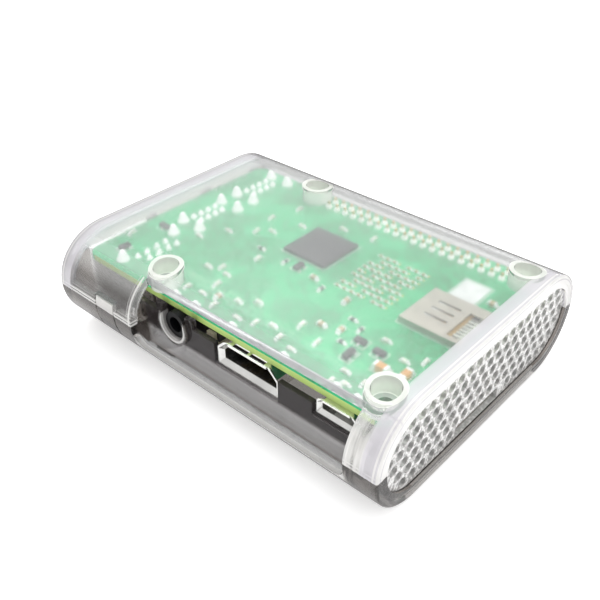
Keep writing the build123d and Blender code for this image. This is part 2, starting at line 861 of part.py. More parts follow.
chip_size = (1.6, 0.8, 0.6)
tan_size = (1.8, 1.1, 0.8)
tantalum_size = (3.2, 1.6, 1.2)
transistor_size = (2.6, 2.2, 1.0)

# from the card edge and the front edge, on the bare face
pale_capacitors = [
    (52.4, 5.6), (47.6, 4.4), (40.8, 4.4), (36.9, 5.6), (33.6, 7.2), (30.2, 5.4), (26.0, 4.2),
    (52.4, 9.6), (53.4, 13.2), (56.2, 14.6), (58.8, 12.8), (52.9, 22.4), (41.0, 10.5), (29.4, 10.8),
    (14.2, 6.0), (14.6, 2.4), (12.0, 3.4), (9.6, 5.6), (7.6, 14.9), (4.6, 17.4), (13.7, 17.6),
    (56.6, 5.2), (44.6, 8.4), (23.6, 8.8), (66.6, 26.4), (61.6, 30.8), (58.7, 33.0), (63.2, 37.6),
    (55.0, 39.4), (61.0, 45.2), (46.8, 44.8), (38.6, 46.0), (70.2, 20.4), (83.0, 11.0),
]
tan_capacitors = [(26.4, 13.2), (48.9, 6.9), (38.4, 24.6), (27.8, 22.6), (4.8, 41.4), (22.4, 14.4)]
orange_tantalums = [(9.6, 10.4), (5.0, 11.6)]
dark_transistors = [(79.2, 17.6), (79.2, 6.1), (17.2, 14.0), (16.6, 9.8), (12.4, 13.6), (43.6, 25.6)]
dark_resistors = [(20.0, 11.6), (19.6, 17.0), (22.8, 18.6), (47.4, 25.4), (55.2, 25.8), (34.6, 22.6)]

field_rows = 9
field_columns = 7
field_pitch = 1.9
field_size = (1.0, 0.5, 0.45)
field_place = (21.5, 26.0)


def chips(places, size):
    """Small blocks on the bare face, every other one turned."""
    shapes = []
    for index, place in enumerate(places):
        length, width, height = size
        if index % 2:
            length, width = width, length
        shapes.append(above(*on_board(*place), length, width, height))
    return shapes


def processor_field():
    """The close array of small capacitors behind the processor."""
    shapes = []
    for row in range(field_rows):
        for column in range(field_columns):
            if (row + 2 * column) % 5 == 4:
                continue
            x, y = on_board(field_place[0] + column * field_pitch, field_place[1] + row * field_pitch)
            shapes.append(above(x, y, *field_size))
    return shapes


def port_solder():
    """Solder joints of the USB and network sockets on the bare face."""
    joints = []
    for inset in usb_back_insets:
        y = back_edge - inset
        joints += [solder_cone(port_edge + row, y + x, pin_leg_joint)
                   for row in usb_leg_rows for x in usb_contact_places()]
        joints += [solder_cone(port_edge + row, y + side * usb_shield_half, shield_joint)
                   for row in usb_shield_rows for side in (-1, 1)]
    y = front_edge + net_front_inset
    for step in range(net_wires):
        row = port_edge + net_leg_row + net_leg_stagger * (step % 2)
        joints.append(solder_cone(row, y + (step - (net_wires - 1) / 2) * net_leg_pitch, net_leg_joint))
    joints += [solder_cone(port_edge + net_shield_row, y + side * net_shield_half, shield_joint)
               for side in (-1, 1)]
    return joints


def front_solder():
    """Solder joints of the front sockets on the bare face."""
    return [solder_cone(card_edge - inset + side * half, front_edge + front_joint_inset, front_joint)
            for inset, half in front_joint_halves for side in (-1, 1)]


# ---------------------------------------------------------------- writing the nodes

save("case_base", case_base())
save("case_lid", case_lid())
save("latch_front", latch(-1))
save("latch_back", latch(1))
save("end_grille", end_grille())

save("circuit_board", circuit_board())
save("header_housing", header_housing())
save("header_pins", *header_pin_set())
save("header_solder", *header_solder())
save("port_solder", *port_solder())
save("front_solder", *front_solder())

save("hdmi_shell", hdmi_shell())
save("hdmi_insulator", hdmi_insulator())
save("hdmi_contacts", *hdmi_contacts())
save("power_shell", power_shell())
save("power_tongue", power_tongue())
save("jack_body", jack_body())
save("jack_contact", jack_contact())
save("net_shield", net_shield())
save("net_insert", net_insert())
save("net_contacts", *net_contacts())
save("net_lights", *net_lights())
for number, inset in enumerate(usb_back_insets, start=1):
    save(f"usb_{number}_shell", usb_shell(back_edge - inset))
    save(f"usb_{number}_tongues", *usb_tongues(back_edge - inset))
    save(f"usb_{number}_contacts", *usb_contacts(back_edge - inset))

save("camera_socket", ribbon_socket(*on_board(*camera_inset)))
save("camera_latch", ribbon_latch(*on_board(*camera_inset)))
save("display_socket", ribbon_socket(*on_board(*display_inset)))
save("display_latch", ribbon_latch(*on_board(*display_inset)))

save("processor", below(*on_board(*processor_place), processor_side, processor_side, processor_t))
save("usb_controller",
     below(*on_board(*usb_controller_place), controller_side, controller_side, controller_t))
save("power_controller",
     below(*on_board(*power_controller_place), power_chip_side, power_chip_side, power_chip_t))
save("memory_chip", above(*on_board(*memory_place), memory_side, memory_side, memory_t))

save("card_shell", card_shell())
save("card_frame", card_frame())
save("card_contacts", *card_contacts())

save("inductors", *[below(*on_board(*place), *inductor_size) for place in inductor_places])
save("input_fuse", below(*on_board(*fuse_place), *fuse_size))
save("crystals", *[below(*on_board(*place), *crystal_size) for place in crystal_places])
save("status_lights", *[below(*on_board(*place), *light_size) for place in light_places])
save("chip_antenna", below(*on_board(*antenna_place), *antenna_size))

save("pale_capacitors", *chips(pale_capacitors, chip_size))
save("tan_capacitors", *chips(tan_capacitors, tan_size))
save("orange_tantalums", *chips(orange_tantalums, tantalum_size))
save("dark_transistors", *chips(dark_transistors, transistor_size))
save("dark_resistors", *chips(dark_resistors, chip_size))
save("processor_field", *processor_field())
save("paper_label", above(*on_board(*label_place), *label_size))
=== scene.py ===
"""Finishes and fine parts of a single board computer in a clear case, built around its frame."""

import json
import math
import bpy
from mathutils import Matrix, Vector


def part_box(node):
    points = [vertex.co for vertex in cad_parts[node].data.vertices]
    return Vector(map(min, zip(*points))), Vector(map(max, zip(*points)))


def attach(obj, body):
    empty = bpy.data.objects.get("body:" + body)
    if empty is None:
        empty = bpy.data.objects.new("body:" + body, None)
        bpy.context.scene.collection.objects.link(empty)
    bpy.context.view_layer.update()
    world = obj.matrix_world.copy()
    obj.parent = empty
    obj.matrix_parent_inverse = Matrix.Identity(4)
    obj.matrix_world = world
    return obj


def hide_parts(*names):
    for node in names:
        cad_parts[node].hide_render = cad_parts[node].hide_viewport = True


bl_info = {
    "name": "Clear Cased Board Computer",
    "version": (1, 0, 0),
    "blender": (4, 5, 0),
    "location": "View3D > Sidebar > Cased Board",
    "description": "Finishes and fine parts of a single board computer in a clear case",
    "category": "Object",
}

import bmesh
import bpy
from bpy.props import FloatProperty, FloatVectorProperty, PointerProperty
from mathutils import Matrix, Vector

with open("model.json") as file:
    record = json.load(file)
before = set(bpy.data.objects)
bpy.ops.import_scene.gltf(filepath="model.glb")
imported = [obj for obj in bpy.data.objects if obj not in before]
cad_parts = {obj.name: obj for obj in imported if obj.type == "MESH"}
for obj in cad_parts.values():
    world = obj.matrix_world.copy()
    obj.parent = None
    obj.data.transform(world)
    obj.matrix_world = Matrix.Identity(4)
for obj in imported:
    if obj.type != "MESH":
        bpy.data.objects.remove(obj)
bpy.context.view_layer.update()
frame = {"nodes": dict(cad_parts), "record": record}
NODES = frame["nodes"]

BASE_LOW, BASE_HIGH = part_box("case_base")
BOARD_LOW, BOARD_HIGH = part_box("circuit_board")
MEMORY_LOW, MEMORY_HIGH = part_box("memory_chip")
CARD_LOW, CARD_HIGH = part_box("card_shell")

RECORD = frame["record"]
OPENINGS = {entry["name"]: entry["box_m"] for entry in RECORD["physics"]["openings"]}
CUT_LOW, CUT_HIGH = (Vector(corner) for corner in OPENINGS["front_cutout"])
JACK = next(Vector(mount["pos_m"]) for mount in RECORD["mounts"] if mount["name"] == "sound_jack")

MM = 0.001
FILM = 0.02 * MM
WALL = 1.8 * MM
SEAM_Z = BASE_LOW.z
TOP_Z = BASE_HIGH.z
BARE_Z = BOARD_HIGH.z
SCREW_INSET = 3.5 * MM
SCREW_SPACING = 58.0 * MM
SLOT_WALL_Y = BOARD_LOW.y - 2.1 * MM
RIM_END = (0.06 * MM, 0.1 * MM)
JOINT_CEILING = TOP_Z - 2.1 * MM

JOINT_LARGE = 0.9 * MM
FILLET_REACH = 0.45 * MM
FILLET_TOE = 0.06 * MM

# The plastics' patterns, in patches per metre.
SAND, MOTTLE, STREAK, HAZE, BLOTCH, WAVE = 7000.0, 1300.0, 950.0, 900.0, 300.0, 140.0

PLASTIC_IOR = 1.49
PALE_ROUGHNESS = 0.2
LIP_POLISH = 0.15
UPRIGHT = (1.0, 0.08, 0.08)
LEVEL = (1.0, 1.0, 0.0)
WHITE = (1.0, 1.0, 1.0, 1.0)

JOINT_OUTLINE = ((0, 0), (1, 0), (0.82, 0.2), (0.66, 0.45), (0.52, 0.75), (0.3, 0.95), (0, 1))

TINTS = {
    "glaze": (0.03, 0.03, 0.035),
    "tantalum": (0.80, 0.36, 0.06),
    "chip mark": (0.10, 0.10, 0.11),
    "ferrite": (0.08, 0.08, 0.085),
    "fuse": (0.06, 0.22, 0.09),
    "card contact": (0.74, 0.75, 0.68),
    "jack": (0.004, 0.004, 0.005),
    "power tongue": (0.85, 0.85, 0.83),
    "usb tongue": (0.78, 0.78, 0.74),
    "label": (0.95, 0.96, 0.95),
    "lens": (0.85, 0.75, 0.3),
    "lens edge": (0.75, 0.72, 0.4),
    "socket floor": (0.60, 0.64, 0.56),
    "socket floor stain": (0.50, 0.55, 0.50),
    "comb gap": (0.03, 0.035, 0.04),
    "card gold": (0.72, 0.47, 0.15),
    "card front": (0.90, 0.78, 0.12),
}


# ---- settings


def colour(name, description, default):
    """A colour that the user can change."""
    return FloatVectorProperty(
        name=name, description=description, default=default, min=0.0, max=1.0, subtype="COLOR", size=3
    )


def share(name, description, default):
    """A number from 0 to 1 that the user can change."""
    return FloatProperty(
        name=name, description=description, default=default, min=0.0, max=1.0, subtype="FACTOR"
    )


def length(name, description, default):
    """A length in metres that the user can change."""
    return FloatProperty(
        name=name, description=description, default=default, min=0.0, unit="LENGTH", precision=5
    )


class CaseSettings(bpy.types.PropertyGroup):
    """Sizes and colours of the clear case."""

    base_tint: colour("Base tint", "Colour of the frosted base", (0.97, 0.985, 0.98))
    # Painted shade: the dark colour that the base's sides are painted towards the seam.
    side_painted_shade: colour("Side painted shade", "Colour that the base's sides deepen to", (0.26, 0.25, 0.25))
    pale_tint: colour("Edge tint", "Colour of the rims and moulded edges", (0.95, 0.94, 0.92))
    boss_tint: colour("Boss tint", "Colour of the screw bosses", (0.98, 1.0, 0.94))
    rim_tint: colour("Rim tint", "Colour of the soft band inside each rim", (0.84, 0.82, 0.86))
    # Painted shade: the dull grey laid over the cut-out's upper face to dim it.
    cut_face_painted_shade: colour("Cut face painted shade", "Colour of the cut-out's face above the board", (0.50, 0.48, 0.52))
    # Painted shade: the near-black tint laid over the plastic seen edge on, over the lid's sides and slotted
    # wall, and on the grille's hole walls.
    painted_shade_tint: colour("Painted shade tint", "Colour of the plastic seen edge on", (0.035, 0.03, 0.03))
    # Partly painted shade: a smoky tint, made dark enough to stand for the dark surroundings seen through
    # the lid.
    lid_tint_and_painted_shade: colour("Lid tint and painted shade", "Colour of the smoky lid", (0.30, 0.27, 0.25))
    trough_tint: colour("Trough tint", "Colour of the lid's trough and slotted wall", (0.80, 0.80, 0.81))
    # Painted shade: the dark tint of the slotted wall's upper part, standing for the shaded room behind it.
    wall_painted_shade: colour("Slotted wall painted shade", "Colour of the wall behind the trough", (0.34, 0.33, 0.36))
    grille_tint: colour("Grille tint", "Colour of the vent grille", (0.90, 0.89, 0.88))
    frost: share("Frost", "Roughness of the frosted outer face", 0.20)
    milk: share("Milk", "How much light the frosted face scatters back", 0.11)
    edge_milk: share("Edge milk", "How much light the rims and moulded edges scatter back", 0.5)
    boss_milk: share("Boss milk", "How much light the screw bosses scatter back", 0.74)
    trough_milk: share("Trough milk", "How much light the trough scatters back", 0.22)
    grille_milk: share("Grille milk", "How much light the grille scatters back", 0.58)
    polish: share("Polish", "Roughness of the polished faces", 0.06)
    rim: length("Clear rim", "Width of the polished band at each end", 3.9 * MM)
    boss: length("Boss radius", "Radius of the pale screw bosses", 3.85 * MM)
    edge: length("Moulded edge", "Width of the pale band along the seam and the cut-out", 1.5 * MM)
    side_reach: length("Side reach", "How far the rounded side reaches in", 12.9 * MM)


class BoardSettings(bpy.types.PropertyGroup):
    """Colours of the circuit board and its small parts."""

    lacquer: colour("Lacquer", "Solder mask over bare laminate", (0.0, 0.27, 0.09))
    copper: colour("Lacquer on copper", "Solder mask over copper", (0.01, 0.58, 0.22))
    laminate: colour("Laminate", "Cut edge of the board", (0.50, 0.68, 0.20))
    ink: colour("Ink", "White print on the board", (0.85, 0.88, 0.85))
    package: colour("Package", "Moulded chip packages", (0.018, 0.018, 0.022))
    solder: colour("Solder", "Solder joints", (0.97, 0.97, 0.96))
    gold: colour("Gold", "Plated contacts", (0.83, 0.58, 0.22))
    ceramic: colour("Ceramic", "Pale chip capacitors", (0.97, 0.94, 0.84))
    tan: colour("Tan ceramic", "Tan chip capacitors", (0.55, 0.38, 0.20))
    swell: FloatProperty(
        name="Joint swell", description="How full the drawn-up joints are", default=1.25, min=0.5, max=2.0
    )
    via: length("Via", "Radius of a via's ring", 0.28 * MM)
    ink_width: length("Ink line", "Width of a printed line", 0.18 * MM)


class SocketSettings(bpy.types.PropertyGroup):
    """Colours of the sockets."""

    steel: colour("Steel", "Tinned socket shells", (0.74, 0.74, 0.72))
    card_steel: colour("Card socket", "Storage-card socket's cover", (0.50, 0.46, 0.40))
    moulding: colour("Moulding", "Black mouldings", (0.02, 0.02, 0.022))
    cream: colour("Cream", "Cream mouldings", (0.78, 0.70, 0.50))


class StageSettings(bpy.types.PropertyGroup):
    """Floor, light and camera."""

    floor: colour("Floor", "Colour of the floor", (0.93, 0.93, 0.93))
    sky: FloatProperty(name="Sky", description="Strength of the surrounding light", default=1.1, min=0.0)
    key_power: FloatProperty(
        name="Key", description="Power of the key light", default=0.9, min=0.0, unit="POWER"
    )
    fill_power: FloatProperty(
        name="Fill", description="Power of the fill light", default=0.5, min=0.0, unit="POWER"
    )
    camera_place: FloatVectorProperty(
        name="Camera", description="Where the camera stands", subtype="XYZ", unit="LENGTH", size=3,
        default=(0.09553, -0.10920, 0.11308), precision=5,
    )
    camera_target: FloatVectorProperty(
        name="Target", description="What the camera looks at", subtype="XYZ", unit="LENGTH", size=3,
        default=(0.00705, -0.01160, 0.01990), precision=5,
    )
    camera_roll: FloatProperty(
        name="Roll", description="Turn of the camera about its view", default=math.radians(-0.37),
        subtype="ANGLE",
    )
    camera_lens: FloatProperty(
        name="Lens", description="Focal length", default=46.7, min=1.0, unit="CAMERA"
    )


# ---- material helpers


class Nodes:
    """Adds nodes to a tree."""

    def __init__(self, tree):
        self.tree = tree
        self.tree.nodes.clear()

    def add(self, kind, inputs=None, **options):
        """Adds a node; an input given a socket is linked, any other value is set."""
        node = self.tree.nodes.new(kind)
        for option, value in options.items():
            setattr(node, option, value)
        for key, value in (inputs or {}).items():
            self.feed(node.inputs[key], value)
        return node

    def feed(self, socket, value):
        if isinstance(value, bpy.types.NodeSocket):
            self.tree.links.new(value, socket)
        elif socket.type == "RGBA" and len(value) == 3:
            socket.default_value = (*value, 1.0)
        else:
            socket.default_value = value


class Finish(Nodes):
    """A node material under construction: one Principled shader and what feeds it."""

    def __init__(self, name, **plain):
        self.material = bpy.data.materials.new(name)
        self.material.use_nodes = True
        super().__init__(self.material.node_tree)
        self.output = self.add("ShaderNodeOutputMaterial")
        self.shader = self.add("ShaderNodeBsdfPrincipled")
        self.show(self.shader.outputs[0])
        self.place = self.add("ShaderNodeTexCoord").outputs["Object"]
        for socket, value in plain.items():
            self.set(socket.replace("_", " "), value)

    def show(self, surface):
        """Makes a shader the material's surface."""
        self.surface = surface
        self.feed(self.output.inputs["Surface"], surface)

    def set(self, name, value):
        """Sets or links one of the shader's own sockets."""
        names = {socket.name.lower(): socket for socket in self.shader.inputs}
        self.feed(names[name.lower()], value)

    def calc(self, operation, *values):
        """Joins values by one kind of Math node."""
        result, *others = values
        for other in others or [0.0]:
            result = self.add("ShaderNodeMath", {0: result, 1: other}, operation=operation).outputs[0]
        return result

    def times(self, *values):
        return self.calc("MULTIPLY", *values)

    def plus(self, *values):
        return self.calc("ADD", *values)

    def minus(self, first, second):
        return self.calc("SUBTRACT", first, second)

    def most(self, *values):
        return self.calc("MAXIMUM", *values)

    def spread(self, value, centre=0.0):
        """How far a value is from a centre, to either side."""
        return self.calc("ABSOLUTE", self.minus(value, centre))

    def squares(self, first, second):
        """The sum of two squares."""
        return self.plus(self.calc("POWER", first, 2.0), self.calc("POWER", second, 2.0))

    def step(self, value, low, high, to_low=0.0, to_high=1.0):
        """Maps a value from low..high onto to_low..to_high."""
        node = self.add("ShaderNodeMapRange", {0: value, 1: low, 2: high, 3: to_low, 4: to_high})
        return node.outputs[0]

    def fall(self, value, low, high):
        """1 up to low, 0 from high."""
        return self.step(value, low, high, 1.0, 0.0)

    def mix(self, factor, first, second):
        """Mixes two colours."""
        node = self.add("ShaderNodeMix", {0: factor, 6: first, 7: second}, data_type="RGBA")
        return node.outputs[2]

    def noise(self, scale, detail=2.0, place=None):
        """Noise over the piece's own coordinates, its scale in patches per metre."""
        inputs = {"Vector": self.place if place is None else place, "Scale": scale, "Detail": detail}
        return self.add("ShaderNodeTexNoise", inputs).outputs["Fac"]

    def stretched(self, stretch):
        """The piece's own coordinates, drawn out along the axes whose stretch is small."""
        return self.add("ShaderNodeMapping", {"Vector": self.place, "Scale": stretch}).outputs[0]

    def streaked(self, scale, stretch, low, high):
        """Noise drawn out along the axes whose stretch is small, mapped onto low..high."""
        return self.step(self.noise(scale, 2.0, self.stretched(stretch)), 0.36, 0.64, low, high)

    def lines(self, value, pitch, low, high):
        """Fine parallel lines across a length, mapped onto low..high."""
        wave = self.calc("SINE", self.times(value, math.tau / pitch))
        return self.step(wave, -0.4, 0.4, low, high)

    def grazing(self, low, high):
        """0 on surfaces that face the eye, 1 on those seen edge on."""
        facing = self.add("ShaderNodeLayerWeight", {"Blend": 0.5}).outputs["Facing"]
        return self.step(facing, low, high)

    def axes(self):
        """Gives the finish the piece's X, Y and Z."""
        self.x, self.y, self.z = self.add("ShaderNodeSeparateXYZ", {0: self.place}).outputs

    def bump(self, height, strength, distance):
        """Bends the shader's normal by a height."""
        node = self.add("ShaderNodeBump", {"Height": height, "Strength": strength, "Distance": distance})
        self.set("Normal", node.outputs[0])

    def cover(self, kind, mask, tint):
        """Lays another kind of shader over the surface where the mask is 1."""
        other = self.add(kind, {"Color": tint}).outputs[0]
        self.show(self.add("ShaderNodeMixShader", {0: mask, 1: self.surface, 2: other}).outputs[0])

    def shade(self, mask, tint):
        """Lays a dull tint over the surface where the mask is 1: painted shade that darkens the plastic."""
        self.cover("ShaderNodeBsdfDiffuse", mask, tint)

    def let_lamps_through(self, tint):
        """Rays from lamps pass straight through, so that what is behind the plastic is lit."""
        ray = self.add("ShaderNodeLightPath").outputs["Is Shadow Ray"]
        self.cover("ShaderNodeBsdfTransparent", ray, tint)


def darker(tint, share_kept):
    """A colour with only a share of its light."""
    return [channel * share_kept for channel in tint]


def dress(nodes, finish):
    """Gives CAD nodes a finish."""
    for name in nodes:
        slots = NODES[name].data.materials
        slots.clear()
        slots.append(finish.material)


# ---- mesh helpers


def solids_of(node):
    """The lowest and highest corner of each separate solid of a CAD node."""
    bm = bmesh.new()
    bm.from_mesh(NODES[node].data)
    bmesh.ops.remove_doubles(bm, verts=bm.verts, dist=1e-6)
    waiting = set(bm.verts)
    boxes = []
    while waiting:
        group = [waiting.pop()]
        for vert in group:
            for edge in vert.link_edges:
                other = edge.other_vert(vert)
                if other in waiting:
                    waiting.remove(other)
                    group.append(other)
        corners = [[vert.co[axis] for vert in group] for axis in range(3)]
        boxes.append((Vector([min(c) for c in corners]), Vector([max(c) for c in corners])))
    bm.free()
    return sorted(boxes, key=lambda pair: tuple(round(c, 6) for c in pair[0]))


def stretch_of(low, high, axis, start, end):
    """A box's corners, cut to a stretch of one axis."""
    low, high = low.copy(), high.copy()
    low[axis], high[axis] = start, end
    return low, high


def add_block(bm, low, high, bevel=0.0, material=0, segments=2):
    """A block between two corners with rounded edges."""
    low, high = Vector(low), Vector(high)
    verts = bmesh.ops.create_cube(bm, size=1.0)["verts"]
    bmesh.ops.scale(bm, verts=verts, vec=high - low)
    bmesh.ops.translate(bm, verts=verts, vec=(low + high) / 2)
    for face in (face for vert in verts for face in vert.link_faces):
        face.material_index = material
    if bevel:
        edges = list(dict.fromkeys(edge for vert in verts for edge in vert.link_edges))
        bmesh.ops.bevel(bm, geom=edges, offset=bevel, offset_type="OFFSET", segments=segments,
                        profile=0.5, affect="EDGES", material=-1, clamp_overlap=True)


def add_turned(bm, centre, outline, steps):
    """A round shape spun from its outline, a list of radius and height, about an upright axis."""
    centre = Vector(centre)
    verts = [bm.verts.new(centre + Vector((radius, 0, height))) for radius, height in outline]
    edges = [bm.edges.new(pair) for pair in zip(verts, verts[1:])]
    bmesh.ops.spin(bm, geom=verts + edges, cent=centre, axis=(0, 0, 1), angle=math.tau, steps=steps,
                   use_merge=True, use_duplicate=False)


def add_disc(bm, centre, radius, segments):
    """A disc one film thick, upright about its centre."""
    bmesh.ops.create_cone(bm, cap_ends=True, segments=segments, radius1=radius, radius2=radius,
                          depth=FILM, matrix=Matrix.Translation(centre))


def finish_piece(bm, name, body, finishes, smooth=True):
    """Turns a bmesh into a piece that rides on a body."""
    bmesh.ops.remove_doubles(bm, verts=bm.verts, dist=1e-7)
    bmesh.ops.recalc_face_normals(bm, faces=bm.faces)
    mesh = bpy.data.meshes.new(name)
    bm.to_mesh(mesh)
    bm.free()
    for finish in finishes:
        mesh.materials.append(finish.material)
    if smooth:
        mesh.shade_smooth()
        mesh.set_sharp_from_angle(angle=math.radians(35))
    piece = bpy.data.objects.new(name, mesh)
    bpy.context.scene.collection.objects.link(piece)
    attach(piece, body)
    return piece


# ---- shared finishes


def moulded(name, base, roughness=0.45, grain=9000.0):
    """Moulded plastic with a fine spark-eroded grain."""
    finish = Finish(name, Roughness=roughness)
    patch = finish.step(finish.noise(350.0, 3.0), 0.3, 0.7)
    finish.set("Base Color", finish.mix(patch, base, darker(base, 0.8)))
    finish.bump(finish.noise(grain, 2.0), 0.15, 0.02 * MM)
    return finish


def metal(name, base, roughness=0.28, brushed=12000.0, relief=0.08):
    """Sheet metal or plating with faint rolling marks."""
    finish = Finish(name, Metallic=1.0)
    marks = finish.noise(brushed, 2.0)
    stain = finish.step(finish.noise(260.0, 3.0), 0.35, 0.7)
    finish.set("Base Color", finish.mix(stain, base, darker(base, 0.86)))
    finish.set("Roughness", finish.step(marks, 0.2, 0.8, roughness * 0.7, roughness * 1.4))
    finish.bump(marks, relief, 0.01 * MM)
    return finish


def soldered(name, base, roughness=0.3):
    """Solder: bright, a little dull from its flux."""
    finish = metal(name, base, roughness, 2500.0)
    finish.set("Metallic", 0.15)
    return finish


def fired(name, base, roughness=0.35):
    """Fired ceramic of a chip capacitor, each a little different in tone."""
    finish = Finish(name, Roughness=roughness)
    tone = finish.step(finish.noise(420.0, 1.0), 0.35, 0.65)
    finish.set("Base Color", finish.mix(tone, base, darker(base, 0.72)))
    return finish


# ---- operators: case


class CASED_OT_base(bpy.types.Operator):
    """Frosts the base's outer face and leaves its rims, bosses and cut edges clear"""

    bl_idname = "cased.base"
    bl_label = "Frosted base"

    def execute(self, context):
        settings = context.scene.case_settings
        finish = Finish("frosted_clear_plastic", IOR=PLASTIC_IOR)
        finish.axes()
        bosses, rims = self.bosses(finish, settings), self.rims(finish, settings)
        card_end, cut = self.card_end(finish), self.cut_edges(finish, settings)
        pale = finish.most(rims, card_end, cut, bosses)
        outer_face = finish.step(self.section(finish, settings), 0.95, 0.97)
        frosted = finish.times(outer_face, finish.minus(1.0, pale))
        top = finish.step(finish.z, TOP_Z - 4.5 * MM, TOP_Z - 1.0 * MM)
        bands = self.rim_lines(finish, settings)
        streaks = finish.streaked(STREAK, UPRIGHT, 0.5, 1.4)

        blotch = finish.noise(BLOTCH, 3.0)
        rough = finish.step(blotch, 0.3, 0.7, settings.frost * 0.94, settings.frost * 1.06)
        rough = finish.most(finish.times(frosted, rough), finish.times(pale, PALE_ROUGHNESS))
        finish.set("Roughness", finish.most(rough, settings.polish))

        milk = self.haze(finish, settings, frosted, top)
        for mask, depth, strength in (
            (rims, finish.step(bands, 0.0, 1.0, 1.05, 1.35), settings.edge_milk),
            (card_end, streaks, settings.edge_milk),
            (cut, 1.0, settings.edge_milk * 1.3),
            (bosses, 1.0, settings.boss_milk),
        ):
            milk = finish.most(milk, finish.times(mask, depth, strength))
        finish.set("Transmission Weight", finish.minus(1.0, milk))

        streak = finish.times(card_end, finish.fall(streaks, 0.25, 0.8))
        pale_tint = finish.mix(streak, settings.pale_tint, darker(settings.pale_tint, 0.55))
        rim_tint = finish.mix(bands, settings.rim_tint, settings.pale_tint)
        pale_tint = finish.mix(rims, pale_tint, rim_tint)
        pale_tint = finish.mix(bosses, pale_tint, settings.boss_tint)
        # Painted shade: the base darkens low on its sides, towards the seam.
        tint = finish.mix(self.depth(finish), settings.base_tint, settings.side_painted_shade)
        finish.set("Base Color", finish.mix(pale, tint, pale_tint))

        sand = finish.noise(SAND)
        finish.bump(finish.times(sand, frosted, top), 0.02, 0.02 * MM)
        # Painted shade: a dull grey dims the cut-out's bright upper face.
        finish.shade(self.cut_face(finish), settings.cut_face_painted_shade)
        # Painted shade: a dark layer where the base is seen edge on and along the ports' rim.
        finish.shade(self.outline(finish, settings), settings.painted_shade_tint)
        finish.let_lamps_through((0.93, 0.95, 0.94))
        dress(["case_base"], finish)
        return {"FINISHED"}

    def haze(self, finish, settings, frosted, top):
        """How milky the frosted face is: more seen edge on, over the board's front and high on the sides."""
        edge_on = finish.plus(finish.times(finish.grazing(0.32, 0.66), 2.1), 0.35)
        plain = finish.times(frosted, top, settings.milk, edge_on)
        front = finish.step(finish.y, BOARD_LOW.y - 0.5 * MM, BOARD_LOW.y + 5.5 * MM,
                            settings.edge_milk * 0.8, 0.0)
        side = finish.times(
            finish.step(finish.z, TOP_Z - 8.0 * MM, TOP_Z - 4.2 * MM, 0.0, settings.edge_milk * 0.5),
            finish.step(finish.z, TOP_Z - 4.0 * MM, TOP_Z - 2.0 * MM, 1.0, 0.3),
            finish.fall(finish.y, BOARD_LOW.y, BOARD_LOW.y + 1.0 * MM),
        )
        veil = finish.most(finish.times(front, top), side)
        return finish.most(plain, finish.times(frosted, veil))

    def depth(self, finish):
        """Where the base is painted darker as painted shade: 1 low on the sides, 0 on top and past the
        cut-out.
        """
        return finish.times(finish.step(finish.z, TOP_Z - 3.2 * MM, TOP_Z - 10.0 * MM),
                            finish.fall(finish.x, CUT_HIGH.x - 8 * MM, CUT_HIGH.x - 2 * MM))

    def section(self, finish, settings):
        """1 on the shell's outer curve, less inside it."""
        flat = BASE_HIGH.y - settings.side_reach
        across = finish.most(finish.minus(finish.spread(finish.y), flat), 0.0)
        across = finish.calc("DIVIDE", across, settings.side_reach)
        upward = finish.calc("DIVIDE", finish.minus(finish.z, SEAM_Z), TOP_Z - SEAM_Z)
        return finish.squares(across, upward)

    def outline(self, finish, settings):
        """Where painted shade darkens the plastic: seen edge on where the sides curve down, and in a dark
        line along the ports' rim.
        """
        side_y = BASE_HIGH.y - settings.side_reach
        side = finish.step(finish.spread(finish.y), side_y, side_y + 1.5 * MM)
        rounded = finish.most(side, finish.fall(finish.z, TOP_Z - 0.4 * MM, TOP_Z - 0.2 * MM))
        outline = finish.times(finish.grazing(0.70, 0.86), rounded, 0.78)
        # A painted dark line along the outer edge of the ports' rim.
        painted_rim_line = finish.step(finish.x, BASE_LOW.x + 0.30 * MM, BASE_LOW.x + 0.40 * MM, 0.7, 0.0)
        return finish.most(outline, painted_rim_line)

    def rims(self, finish, settings):
        """1 in the band at each end."""
        inner_end = BASE_HIGH.x - settings.rim
        return finish.step(finish.spread(finish.x), inner_end - 0.2 * MM, inner_end + 0.2 * MM)

    def rim_lines(self, finish, settings):
        """1 on the bright lines at the outer edge of each rim, 0 on the soft band inside them."""
        inward = finish.minus(BASE_HIGH.x, finish.spread(finish.x))
        bright = finish.fall(inward, 1.5 * MM, 1.7 * MM)
        dark = finish.times(finish.step(inward, *RIM_END), finish.lines(inward, 0.8 * MM, 1.0, 0.0))
        section = self.section(finish, settings)
        groove = finish.times(finish.step(section, 0.835, 0.845), finish.fall(section, 0.875, 0.885),
                              finish.fall(inward, *RIM_END))
        return finish.minus(bright, finish.most(dark, groove))

    def cut_face(self, finish):
        """Where painted shade dims the cut-out's upper face, above the board, with a dull grey."""
        near_face = finish.spread(finish.y, BOARD_LOW.y - 0.4 * MM)
        return finish.times(finish.step(near_face, 0.1 * MM, 0.15 * MM, 0.5, 0.0),
                            finish.step(finish.z, BARE_Z, BARE_Z + 0.2 * MM),
                            finish.step(finish.x, CUT_LOW.x - 0.6 * MM, CUT_LOW.x - 0.5 * MM))

